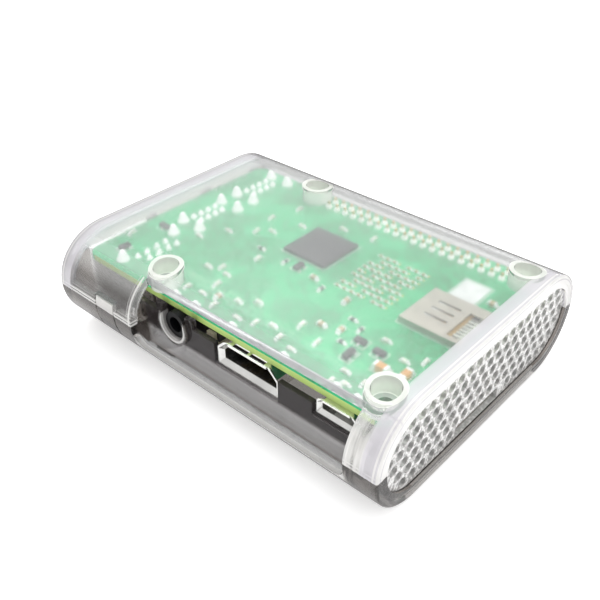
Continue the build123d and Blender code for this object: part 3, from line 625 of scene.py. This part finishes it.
    def bosses(self, finish, settings):
        """1 in the four screw bosses, less on the floors of their recesses."""
        centre_x = BOARD_HIGH.x - SCREW_INSET - SCREW_SPACING / 2
        centre_y = (BOARD_LOW.y + BOARD_HIGH.y) / 2
        half_y = (BOARD_HIGH.y - BOARD_LOW.y) / 2 - SCREW_INSET
        off_x = finish.minus(finish.spread(finish.x, centre_x), SCREW_SPACING / 2)
        off_y = finish.minus(finish.spread(finish.y, centre_y), half_y)
        distance = finish.calc("SQRT", finish.squares(off_x, off_y))
        floor = finish.times(finish.fall(distance, 2.5 * MM, 2.6 * MM),
                             finish.fall(finish.z, BARE_Z + 1.3 * MM, BARE_Z + 1.4 * MM))
        boss = finish.fall(distance, settings.boss, settings.boss + 0.1 * MM)
        return finish.times(boss, finish.step(floor, 0.0, 1.0, 1.0, 0.5))

    def card_end(self, finish):
        """1 on the sides between the cut-out and the vented end."""
        return finish.times(finish.step(finish.x, CUT_HIGH.x - 0.6 * MM, CUT_HIGH.x + 0.4 * MM),
                            finish.fall(finish.z, TOP_Z - 5.5 * MM, TOP_Z - 3.0 * MM))

    def cut_edges(self, finish, settings):
        """1 on the fine lines in the bands along the seam and the cut-out's side towards the ports."""
        soft_edge = settings.edge + 0.1 * MM
        seam = finish.fall(finish.z, SEAM_Z + settings.edge, SEAM_Z + soft_edge)
        from_cut = finish.spread(finish.x, CUT_LOW.x - 0.3 * MM)
        side = finish.times(finish.fall(from_cut, settings.edge, soft_edge),
                            finish.fall(finish.y, CUT_HIGH.y + 2.0 * MM, CUT_HIGH.y + 2.4 * MM))
        return finish.most(finish.times(seam, finish.lines(finish.z, 0.75 * MM, 0.5, 1.0)),
                           finish.times(side, finish.lines(finish.x, 1.0 * MM, 0.35, 1.0)))


class CASED_OT_lid(bpy.types.Operator):
    """Gives the lid and its latch tongues a smoky plastic, darkened further by painted shade, paler in the
    trough and at the tips, with painted reflections in the trough and painted highlights on its brim and
    round the sound socket
    """

    bl_idname = "cased.lid"
    bl_label = "Smoky lid"

    def execute(self, context):
        settings = context.scene.case_settings
        finish = Finish("smoky_clear_plastic", IOR=PLASTIC_IOR)
        finish.axes()
        middle = finish.times(finish.step(finish.x, CUT_LOW.x - 0.4 * MM, CUT_LOW.x - 0.2 * MM),
                              finish.fall(finish.x, CUT_HIGH.x + 0.2 * MM, CUT_HIGH.x + 0.4 * MM))
        trough, wall_shade_mask = self.trough(finish, middle)
        tips = self.tips(finish, trough)

        haze = finish.noise(HAZE, 3.0)
        # The lid's tint is partly painted shade, darkened for the dark surroundings seen through it; the
        # haze varies it at random.
        tint = finish.mix(finish.step(haze, 0.3, 0.7), settings.lid_tint_and_painted_shade, darker(settings.lid_tint_and_painted_shade, 0.9))
        tint = finish.mix(trough, tint, settings.trough_tint)
        # Painted shade: the slotted wall's upper part is painted dark.
        tint = finish.mix(wall_shade_mask, tint, settings.wall_painted_shade)
        finish.set("Base Color", finish.mix(tips, tint, settings.pale_tint))
        # Painted reflections: fine bright lines in the trough's milk stand in for the lines of light that it
        # reflects.
        painted_reflection_lines = finish.lines(finish.plus(finish.y, finish.z), 1.3 * MM, 0.82, 1.1)
        milk = finish.most(finish.times(trough, painted_reflection_lines, settings.trough_milk),
                           finish.times(tips, settings.edge_milk))
        finish.set("Transmission Weight", finish.minus(1.0, milk))
        finish.set("Roughness", finish.step(haze, 0.35, 0.75, settings.polish, settings.polish * 2.2))
        finish.bump(finish.noise(WAVE), 0.12, 0.2 * MM)

        # Painted shade: a dull dark layer over the lid seen edge on, over the slotted wall's upper part, and
        # low on its outer sides outside the middle and the tips.
        inward = finish.minus(BASE_HIGH.y, finish.spread(finish.y))
        side = finish.step(inward, 3.0 * MM, 6.0 * MM, 0.23, 0.0)
        plain = finish.minus(1.0, finish.most(tips, middle))
        dull = finish.most(finish.times(finish.grazing(0.72, 0.94), 0.6), finish.times(wall_shade_mask, 0.6),
                           finish.times(side, plain))
        finish.shade(dull, settings.painted_shade_tint)
        finish.let_lamps_through((0.6, 0.58, 0.57))
        dress(["case_lid", "latch_front", "latch_back"], finish)
        return {"FINISHED"}

    def trough(self, finish, middle):
        """1 in the trough before the sockets and on the lower part of the slotted wall behind it, and,
        second, 1 on that wall's upper part, which is painted dark as painted shade.
        """
        behind = finish.step(finish.y, SLOT_WALL_Y - 0.2 * MM, SLOT_WALL_Y)
        low_part = finish.times(finish.step(finish.z, 5.0 * MM, 5.3 * MM),
                                finish.fall(finish.z, 8.5 * MM, 11.0 * MM))
        trough = finish.most(finish.times(middle, finish.minus(low_part, behind)), 0.0)
        wall = finish.times(middle, behind,
                            finish.fall(finish.y, SLOT_WALL_Y + 1.4 * MM, SLOT_WALL_Y + 1.6 * MM),
                            finish.step(finish.z, 6.3 * MM, 6.6 * MM))
        wall_shade_mask = finish.times(wall, finish.step(finish.z, 11.2 * MM, 12.4 * MM))
        return finish.most(trough, finish.minus(wall, wall_shade_mask)), wall_shade_mask

    def tips(self, finish, trough):
        """1 on the tongues' tips, the trough's brim and the clear collar round the sound socket. The brim's
        pale line and the collar's pale ring are painted highlights.
        """
        above_seam = finish.step(finish.z, SEAM_Z + 0.1 * MM, SEAM_Z + 0.2 * MM)
        outside = finish.step(finish.spread(finish.y), BASE_HIGH.y - 2.5 * MM, BASE_HIGH.y - 2.4 * MM)
        # Painted highlight: a pale line along the trough's brim.
        brim = finish.times(finish.step(finish.z, 7.0 * MM, 7.4 * MM),
                            finish.step(finish.y, BASE_LOW.y + 2.2 * MM, BASE_LOW.y + 2.0 * MM), trough)
        # Painted highlight: a pale ring on the collar round the sound socket.
        from_jack = finish.squares(finish.minus(finish.x, JACK.x), finish.minus(finish.z, JACK.z))
        from_jack = finish.calc("SQRT", from_jack)
        collar = finish.times(finish.step(from_jack, 3.2 * MM, 3.3 * MM),
                              finish.fall(from_jack, 3.8 * MM, 4.1 * MM),
                              finish.fall(finish.y, BOARD_LOW.y - 0.2 * MM, BOARD_LOW.y))
        return finish.most(finish.times(above_seam, outside), brim, collar)


class CASED_OT_grille(bpy.types.Operator):
    """Gives the vent grille pale, half-clear plastic, and its holes milky walls with dark slivers of painted
    shade
    """

    bl_idname = "cased.grille"
    bl_label = "Vent grille"

    def execute(self, context):
        settings = context.scene.case_settings
        finish = Finish("grille_clear_plastic", IOR=PLASTIC_IOR, Roughness=0.12)
        mottle = finish.step(finish.noise(MOTTLE), 0.38, 0.62)
        dark = darker(settings.grille_tint, 0.72)
        finish.set("Base Color", finish.mix(mottle, dark, settings.grille_tint))
        milk = finish.step(mottle, 0.0, 1.0, settings.grille_milk * 0.7, settings.grille_milk * 1.5)
        direction = finish.add("ShaderNodeTexCoord").outputs["Normal"]
        across, side, up = finish.add("ShaderNodeSeparateXYZ", {0: direction}).outputs
        hole_wall = finish.fall(finish.spread(across), 0.3, 0.6)
        milk = finish.most(milk, finish.times(hole_wall, settings.edge_milk * 1.5))
        finish.set("Transmission Weight", finish.minus(1.0, milk))
        finish.bump(mottle, 0.3, 0.1 * MM)
        # Painted shade: dark slivers on the hole walls that lean one way, where the holes fall into shade.
        lean = finish.plus(finish.times(finish.spread(side), 0.80), finish.times(up, 0.60))
        slivers = finish.times(hole_wall, finish.step(lean, 0.84, 0.97, 0.0, 0.4))
        finish.shade(slivers, settings.painted_shade_tint)
        finish.let_lamps_through((0.85, 0.86, 0.86))
        dress(["end_grille"], finish)
        return {"FINISHED"}


class CASED_OT_seam_lips(bpy.types.Operator):
    """Stands a thin lip on the lid, just inside the base, along each side's straight run"""

    bl_idname = "cased.seam_lips"
    bl_label = "Seam lips"

    def execute(self, context):
        settings = context.scene.case_settings
        finish = self.lip_plastic(settings)
        latch_low, latch_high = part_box("latch_front")
        inner_y = BASE_HIGH.y - WALL - 0.15 * MM
        port_end, card_end = BASE_LOW.x + settings.rim, BASE_HIGH.x - settings.rim
        before_latch, past_latch = latch_low.x - 0.8 * MM, latch_high.x + 0.8 * MM
        bm = bmesh.new()
        for x0, x1, side in (
            (port_end, before_latch, -1),
            (past_latch, CUT_LOW.x - 1.0 * MM, -1),
            (port_end, before_latch, 1),
            (past_latch, card_end, 1),
        ):
            y0, y1 = sorted((side * inner_y, side * (inner_y - 0.7 * MM)))
            add_block(bm, (x0, y0, SEAM_Z - 0.3 * MM), (x1, y1, SEAM_Z + settings.edge * 0.9), 0.15 * MM)
        finish_piece(bm, "seam_lips", "lid", [finish])
        return {"FINISHED"}

    def lip_plastic(self, settings):
        """Pale clear plastic, faintly wavy as moulded sheet is."""
        finish = Finish("pale_lip_plastic", IOR=PLASTIC_IOR)
        finish.set("Transmission Weight", 1.0 - settings.edge_milk)
        haze = finish.noise(HAZE, 3.0)
        dark = darker(settings.pale_tint, 0.94)
        finish.set("Base Color", finish.mix(finish.step(haze, 0.4, 0.8), settings.pale_tint, dark))
        finish.set("Roughness", finish.step(haze, 0.35, 0.75, LIP_POLISH, LIP_POLISH * 2.2))
        finish.bump(finish.noise(WAVE), 0.12, 0.2 * MM)
        finish.let_lamps_through((0.9, 0.9, 0.9))
        return finish


# ---- operators: board


class CASED_OT_board(bpy.types.Operator):
    """Lacquers the board over its copper pattern and bares its cut edge"""

    bl_idname = "cased.board"
    bl_label = "Board lacquer"

    def execute(self, context):
        settings = context.scene.board_settings
        finish = Finish("lacquered_board", Roughness=0.38, IOR=1.45)
        flat = finish.stretched(LEVEL)
        planes = finish.step(finish.noise(60.0, 2.0, flat), 0.45, 0.56)
        traces = finish.add("ShaderNodeTexVoronoi", {"Vector": flat, "Scale": 900.0},
                            distance="CHEBYCHEV", feature="F1")
        lines = finish.step(traces.outputs["Distance"], 0.32, 0.4)
        pattern = finish.most(finish.times(lines, 0.5), finish.times(planes, 0.85))
        from_line = finish.spread(finish.noise(130.0, 1.0, flat), 0.5)
        pattern = finish.times(pattern, finish.step(from_line, 0.012, 0.03, 0.45, 1.0))
        face = finish.mix(pattern, settings.lacquer, settings.copper)
        finish.axes()
        half = (BOARD_HIGH - BOARD_LOW) / 2
        centre = (BOARD_HIGH + BOARD_LOW) / 2
        from_x, from_y = finish.spread(finish.x, centre.x), finish.spread(finish.y, centre.y)
        edge = finish.most(finish.step(from_x, half.x - 0.03 * MM, half.x - 0.01 * MM),
                           finish.step(from_y, half.y - 0.03 * MM, half.y - 0.01 * MM))
        finish.set("Base Color", finish.mix(edge, face, settings.laminate))
        finish.bump(pattern, 0.2, 0.03 * MM)
        dress(["circuit_board"], finish)
        return {"FINISHED"}


class CASED_OT_print(bpy.types.Operator):
    """Prints outlines round the parts and sets vias beside the processor's capacitors"""

    bl_idname = "cased.print"
    bl_label = "Print and vias"

    def execute(self, context):
        settings = context.scene.board_settings
        ink = Finish("white_ink", Roughness=0.6)
        ink.set("Base Color", ink.mix(ink.noise(2500.0), settings.ink, darker(settings.ink, 0.9)))
        bm = bmesh.new()
        for low, high in ((MEMORY_LOW, MEMORY_HIGH), (CARD_LOW, CARD_HIGH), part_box("paper_label")):
            self.outline(bm, low, high, 0.5 * MM, settings.ink_width)
        for low, high in solids_of("dark_transistors") + solids_of("orange_tantalums"):
            self.outline(bm, low, high, 0.3 * MM, settings.ink_width)
        finish_piece(bm, "printed_outlines", "board", [ink], smooth=False)

        plating = metal("via_plating", settings.gold, 0.35)
        bm = bmesh.new()
        for low, high in solids_of("processor_field"):
            middle = (low + high) / 2
            place = (high.x + 2.2 * settings.via, middle.y + 1.1 * settings.via, BARE_Z + FILM / 2)
            add_disc(bm, place, settings.via, 10)
        finish_piece(bm, "processor_vias", "board", [plating], smooth=False)
        return {"FINISHED"}

    def outline(self, bm, low, high, gap, width):
        """A printed frame round a part, just above the lacquer."""
        x0, x1 = low.x - gap, high.x + gap
        y0, y1 = low.y - gap, high.y + gap
        for a, b in (
            ((x0, y0), (x1, y0 + width)),
            ((x0, y1 - width), (x1, y1)),
            ((x0, y0 + width), (x0 + width, y1 - width)),
            ((x1 - width, y0 + width), (x1, y1 - width)),
        ):
            add_block(bm, (*a, BARE_Z), (*b, BARE_Z + FILM))


class CASED_OT_chips(bpy.types.Operator):
    """Builds the chip capacitors and resistors with soldered metal ends"""

    bl_idname = "cased.chips"
    bl_label = "Chip parts"

    def execute(self, context):
        settings = context.scene.board_settings
        ends = soldered("chip_end_solder", settings.solder)
        bodies = {
            "pale_capacitors": fired("pale_ceramic_body", settings.ceramic),
            "tan_capacitors": fired("tan_ceramic_body", settings.tan),
            "dark_resistors": moulded("resistor_glaze", TINTS["glaze"], 0.3),
            "processor_field": fired("small_ceramic_body", [c * 1.25 for c in settings.tan]),
            "orange_tantalums": moulded("tantalum_moulding", TINTS["tantalum"], 0.4),
        }
        for node, body in bodies.items():
            bm = bmesh.new()
            for low, high in solids_of(node):
                self.chip(bm, low, high)
            piece = finish_piece(bm, f"{node}_detail", "board", [body, ends])
            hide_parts(node)
        return {"FINISHED"}

    def slot_of(self, node):
        return {"pale_capacitors": "pale_ceramic", "dark_resistors": "chip_black",
                "orange_tantalums": "orange_case"}.get(node, "tan_ceramic")

    def chip(self, bm, low, high):
        """One chip: a body with a cap over each end, along its longer side."""
        size = high - low
        axis = 0 if size.x > size.y else 1
        cap, proud = size[axis] * 0.24, size.z * 0.05
        a, b = stretch_of(low, high, axis, low[axis] + cap * 0.6, high[axis] - cap * 0.6)
        a, b = stretch_of(a, b, 1 - axis, low[1 - axis] + proud, high[1 - axis] - proud)
        b.z -= proud
        add_block(bm, a, b, size.z * 0.08, 0)
        for start, end, way in ((low[axis], low[axis] + cap, -1), (high[axis] - cap, high[axis], 1)):
            a, b = stretch_of(low, high, axis, start, end)
            add_block(bm, a, b, size.z * 0.16, 1)
            self.fillet(bm, low, high, axis, way)

    def fillet(self, bm, low, high, axis, way):
        """The solder that runs from a chip's end down onto its pad."""
        end = high[axis] if way > 0 else low[axis]
        outer = end + way * FILLET_REACH
        a, b = stretch_of(low, high, axis, *sorted((end - way * FILM, outer)))
        b.z = low.z + (high.z - low.z) * 0.55
        before = set(bm.verts)
        add_block(bm, a, b, 0.0, 1)
        for vert in set(bm.verts) - before:
            if abs(vert.co[axis] - outer) < FILM and vert.co.z > low.z + FILM:
                vert.co.z = low.z + FILLET_TOE


class CASED_OT_packages(bpy.types.Operator):
    """Builds the memory chip and the small transistors with bevelled packages and legs"""

    bl_idname = "cased.packages"
    bl_label = "Packages"

    def execute(self, context):
        settings = context.scene.board_settings
        package = moulded("chip_package", settings.package, 0.5)
        mark = moulded("chip_mark", TINTS["chip mark"], 0.6)
        legs = soldered("tinned_leg", settings.solder)

        bm = bmesh.new()
        add_block(bm, MEMORY_LOW, MEMORY_HIGH, 0.12 * MM, 0, 3)
        dot = (MEMORY_LOW.x + 1.1 * MM, MEMORY_HIGH.y - 1.1 * MM, MEMORY_HIGH.z + FILM / 2)
        add_disc(bm, dot, 0.4 * MM, 20)
        piece = finish_piece(bm, "memory_package", "board", [package, mark])
        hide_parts("memory_chip")

        bm = bmesh.new()
        for low, high in solids_of("dark_transistors"):
            self.transistor(bm, low, high)
        piece = finish_piece(bm, "transistor_packages", "board", [package, legs])
        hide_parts("dark_transistors")

        dress(["processor", "usb_controller", "power_controller"], package)
        dress(["inductors"], moulded("ferrite", TINTS["ferrite"], 0.7, 4000.0))
        dress(["input_fuse"], moulded("fuse_coating", TINTS["fuse"], 0.4))
        return {"FINISHED"}

    def transistor(self, bm, low, high):
        """A small package with a leg at one side's middle and two at the other's ends."""
        size = high - low
        axis = 0 if size.x > size.y else 1
        inset = size[1 - axis] * 0.2
        a, b = stretch_of(low, high, 1 - axis, low[1 - axis] + inset, high[1 - axis] - inset)
        a.z += size.z * 0.08
        add_block(bm, a, b, size.z * 0.12, 0)
        leg = size[axis] * 0.14
        for along, side in ((0.5, 0), (0.2, 1), (0.8, 1)):
            middle = low[axis] + size[axis] * along
            a, b = stretch_of(low, high, axis, middle - leg / 2, middle + leg / 2)
            if side:
                a[1 - axis] = high[1 - axis] - size[1 - axis] * 0.25
            else:
                b[1 - axis] = low[1 - axis] + size[1 - axis] * 0.25
            b.z = low.z + size.z * 0.3
            add_block(bm, a, b, size.z * 0.05, 1)


class CASED_OT_solder(bpy.types.Operator):
    """Builds drawn-up solder joints for the sockets and dresses the header's joints and pins"""

    bl_idname = "cased.solder"
    bl_label = "Solder joints"

    def execute(self, context):
        settings = context.scene.board_settings
        bright = soldered("solder_with_painted_glow", settings.solder, 0.22)
        # The emission is a painted glow: solder is no lamp, but it is made to shine white on its own.
        bright.set("Emission Color", settings.solder)
        bright.set("Emission Strength", 0.26)
        gold = metal("gold_plating", settings.gold, 0.2)
        for node in ("port_solder", "front_solder"):
            bm = bmesh.new()
            for low, high in solids_of(node):
                centre = (low + high) / 2
                radius, height = (high.x - low.x) / 2, high.z - low.z
                if radius > JOINT_LARGE:
                    radius, height = radius * settings.swell, min(height * 1.5, JOINT_CEILING - low.z)
                outline = [(radius * out, height * up) for out, up in JOINT_OUTLINE]
                add_turned(bm, (centre.x, centre.y, low.z), outline, 14)
            piece = finish_piece(bm, f"{node}_joints", "board", [bright])
            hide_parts(node)
        dress(["header_solder"], bright)
        dress(["header_pins", "hdmi_contacts", "net_contacts", "usb_1_contacts", "usb_2_contacts",
               "jack_contact"], gold)
        dress(["card_contacts"], metal("tinned_contact", TINTS["card contact"], 0.35))
        return {"FINISHED"}


# ---- operators: sockets


class CASED_OT_sockets(bpy.types.Operator):
    """Dresses the socket shells, mouldings, flat-cable latches and indicator lights"""

    bl_idname = "cased.sockets"
    bl_label = "Sockets"

    def execute(self, context):
        settings = context.scene.socket_settings
        board = context.scene.board_settings
        steel = metal("tinned_steel", settings.steel, 0.2, 1500.0, 0.03)
        dress(["hdmi_shell", "power_shell", "crystals"], steel)
        shield = metal("shield_steel", darker(settings.steel, 0.62), 0.28, 1500.0, 0.03)
        dress(["net_shield", "usb_1_shell", "usb_2_shell"], shield)
        dress(["card_shell"], metal("card_socket_steel", settings.card_steel, 0.35))
        black = moulded("black_moulding", settings.moulding, 0.4)
        dress(["header_housing", "hdmi_insulator", "net_insert"], black)
        dress(["camera_socket", "display_socket"], black)
        jack = moulded("jack_moulding", TINTS["jack"], 0.45, 3000.0)
        jack.set("Specular IOR Level", 0.15)
        dress(["jack_body"], jack)
        dress(["power_tongue"], moulded("pale_tongue", TINTS["power tongue"], 0.4))
        dress(["camera_latch", "display_latch"], moulded("cream_moulding", settings.cream, 0.45))
        dress(["usb_1_tongues", "usb_2_tongues"], moulded("white_moulding", TINTS["usb tongue"], 0.4))
        dress(["card_frame"], self.socket_floor())
        dress(["paper_label"], moulded("label_paper", TINTS["label"], 0.7, 3000.0))
        dress(["chip_antenna"], fired("antenna_ceramic", board.ceramic))
        lens = Finish("indicator_lens", Roughness=0.2, IOR=1.5)
        lens.set("Transmission Weight", 0.5)
        lens.set("Base Color", lens.mix(lens.noise(800.0), TINTS["lens"], TINTS["lens edge"]))
        dress(["net_lights", "status_lights"], lens)
        return {"FINISHED"}

    def socket_floor(self):
        """Pale moulding with a yellow front strip and dark gaps between its gold contacts."""
        finish = Finish("pale_socket_moulding", Roughness=0.5)
        finish.axes()
        low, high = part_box("card_frame")
        tint = finish.mix(finish.noise(700.0), TINTS["socket floor"], TINTS["socket floor stain"])
        comb = finish.step(finish.x, high.x - 1.5 * MM, high.x - 1.6 * MM)
        tint = finish.mix(comb, tint, TINTS["comb gap"])
        gold = finish.step(finish.x, high.x - 2.75 * MM, high.x - 2.85 * MM)
        tint = finish.mix(gold, tint, TINTS["card gold"])
        front = finish.step(finish.y, low.y + 2.2 * MM, low.y + 2.1 * MM)
        finish.set("Base Color", finish.mix(front, tint, TINTS["card front"]))
        return finish


class CASED_OT_fingers(bpy.types.Operator):
    """Bends spring fingers in the card socket's slots"""

    bl_idname = "cased.fingers"
    bl_label = "Card socket fingers"

    def execute(self, context):
        settings = context.scene.socket_settings
        steel = metal("spring_steel", settings.steel, 0.25)
        bm = bmesh.new()
        middle_y = (CARD_LOW.y + CARD_HIGH.y) / 2
        start_x = CARD_LOW.x + 3.3 * MM
        thickness, width, reach = 0.15 * MM, 0.5 * MM, 4.8 * MM
        for row in (-1, 0, 1):
            y = middle_y + row * 2.6 * MM + 0.1 * MM
            low = Vector((start_x, y, CARD_HIGH.z - 0.25 * MM))
            high = Vector((start_x + reach, y + width, CARD_HIGH.z - 0.25 * MM + thickness))
            verts_before = set(bm.verts)
            add_block(bm, low, high)
            made = [vert for vert in bm.verts if vert not in verts_before]
            tips = [vert for vert in made if vert.co.x > high.x - FILM]
            bmesh.ops.translate(bm, verts=tips, vec=(0, 0, -0.45 * MM))
        finish_piece(bm, "card_socket_fingers", "board", [steel], smooth=False)
        return {"FINISHED"}


# ---- operator: stage


class CASED_OT_stage(bpy.types.Operator):
    """Sets the pale floor, the soft light and the camera"""

    bl_idname = "cased.stage"
    bl_label = "Floor, light and camera"

    def execute(self, context):
        settings = context.scene.stage_settings
        self.floor(settings)
        self.sky(context.scene, settings)
        self.lamp("key_light", (-0.35, 0.30, 0.60), 0.45, settings.key_power)
        self.lamp("fill_light", (0.45, -0.10, 0.35), 0.40, settings.fill_power)
        self.camera(context.scene, settings)
        context.scene.view_settings.view_transform = "Standard"
        return {"FINISHED"}

    def floor(self, settings):
        bm = bmesh.new()
        bmesh.ops.create_circle(bm, cap_ends=True, segments=96, radius=4.0)
        mesh = bpy.data.meshes.new("floor")
        bm.to_mesh(mesh)
        bm.free()
        finish = Finish("floor_paper", Roughness=0.85, Emission_Color=WHITE, Emission_Strength=0.42)
        grain = finish.noise(400.0, 3.0)
        finish.set("Base Color", finish.mix(grain, settings.floor, darker(settings.floor, 0.995)))
        mesh.materials.append(finish.material)
        floor = bpy.data.objects.new("floor", mesh)
        bpy.context.scene.collection.objects.link(floor)

    def sky(self, scene, settings):
        """Bright overhead and darker low down, so that clear edges read, and white to the camera."""
        world = bpy.data.worlds.new("studio")
        world.use_nodes = True
        nodes = Nodes(world.node_tree)
        direction = nodes.add("ShaderNodeTexCoord").outputs["Generated"]
        upward = nodes.add("ShaderNodeSeparateXYZ", {0: direction}).outputs["Z"]
        ramp = nodes.add("ShaderNodeValToRGB", {0: upward})
        stops = ramp.color_ramp.elements
        stops[0].position, stops[0].color = 0.05, (0.18, 0.175, 0.17, 1.0)
        stops[1].position, stops[1].color = 0.9, (1.05, 1.05, 1.05, 1.0)
        stops.new(0.45).color = (0.8, 0.8, 0.8, 1.0)
        studio = nodes.add("ShaderNodeBackground", {"Color": ramp.outputs[0], "Strength": settings.sky})
        plain = nodes.add("ShaderNodeBackground", {"Color": WHITE})
        looked_at = nodes.add("ShaderNodeLightPath").outputs["Is Camera Ray"]
        both = nodes.add("ShaderNodeMixShader", {0: looked_at, 1: studio.outputs[0], 2: plain.outputs[0]})
        nodes.add("ShaderNodeOutputWorld", {"Surface": both.outputs[0]})
        scene.world = world

    def lamp(self, name, place, size, power):
        light = bpy.data.lights.new(name, "AREA")
        light.shape = "DISK"
        light.size = size
        light.energy = power
        lamp = bpy.data.objects.new(name, light)
        lamp.location = place
        lamp.rotation_euler = (-Vector(place)).to_track_quat("-Z", "Y").to_euler()
        bpy.context.scene.collection.objects.link(lamp)

    def camera(self, scene, settings):
        data = bpy.data.cameras.new("camera")
        data.lens = settings.camera_lens
        data.sensor_width = 36.0
        data.clip_start = 0.005
        camera = bpy.data.objects.new("camera", data)
        place = Vector(settings.camera_place)
        view = Vector(settings.camera_target) - place
        turn = view.to_track_quat("-Z", "Y").to_matrix() @ Matrix.Rotation(settings.camera_roll, 3, "Z")
        camera.matrix_world = Matrix.Translation(place) @ turn.to_4x4()
        scene.collection.objects.link(camera)
        scene.camera = camera


# ---- panel and registration


SETTINGS = {
    "case_settings": CaseSettings,
    "board_settings": BoardSettings,
    "socket_settings": SocketSettings,
    "stage_settings": StageSettings,
}
OPERATORS = (
    CASED_OT_base, CASED_OT_lid, CASED_OT_grille, CASED_OT_seam_lips,
    CASED_OT_board, CASED_OT_print, CASED_OT_chips, CASED_OT_packages,
    CASED_OT_solder, CASED_OT_sockets, CASED_OT_fingers, CASED_OT_stage,
)


class CASED_PT_panel(bpy.types.Panel):
    """Lists the pieces and their settings"""

    bl_idname = "CASED_PT_panel"
    bl_label = "Cased Board"
    bl_space_type = "VIEW_3D"
    bl_region_type = "UI"
    bl_category = "Cased Board"

    def draw(self, context):
        for operator in OPERATORS:
            self.layout.operator(operator.bl_idname)
        for name, group in SETTINGS.items():
            box = self.layout.box()
            box.label(text=group.__doc__)
            for key in group.__annotations__:
                box.prop(getattr(context.scene, name), key)


CLASSES = (*SETTINGS.values(), *OPERATORS, CASED_PT_panel)


def register():
    for cls in CLASSES:
        bpy.utils.register_class(cls)
    for name, group in SETTINGS.items():
        setattr(bpy.types.Scene, name, PointerProperty(type=group))


def unregister():
    for name in SETTINGS:
        delattr(bpy.types.Scene, name)
    for cls in reversed(CLASSES):
        bpy.utils.unregister_class(cls)


def main():
    register()
    for operator in OPERATORS:
        group, action = operator.bl_idname.split(".")
        getattr(getattr(bpy.ops, group), action)()


if __name__ == "__main__":
    main()
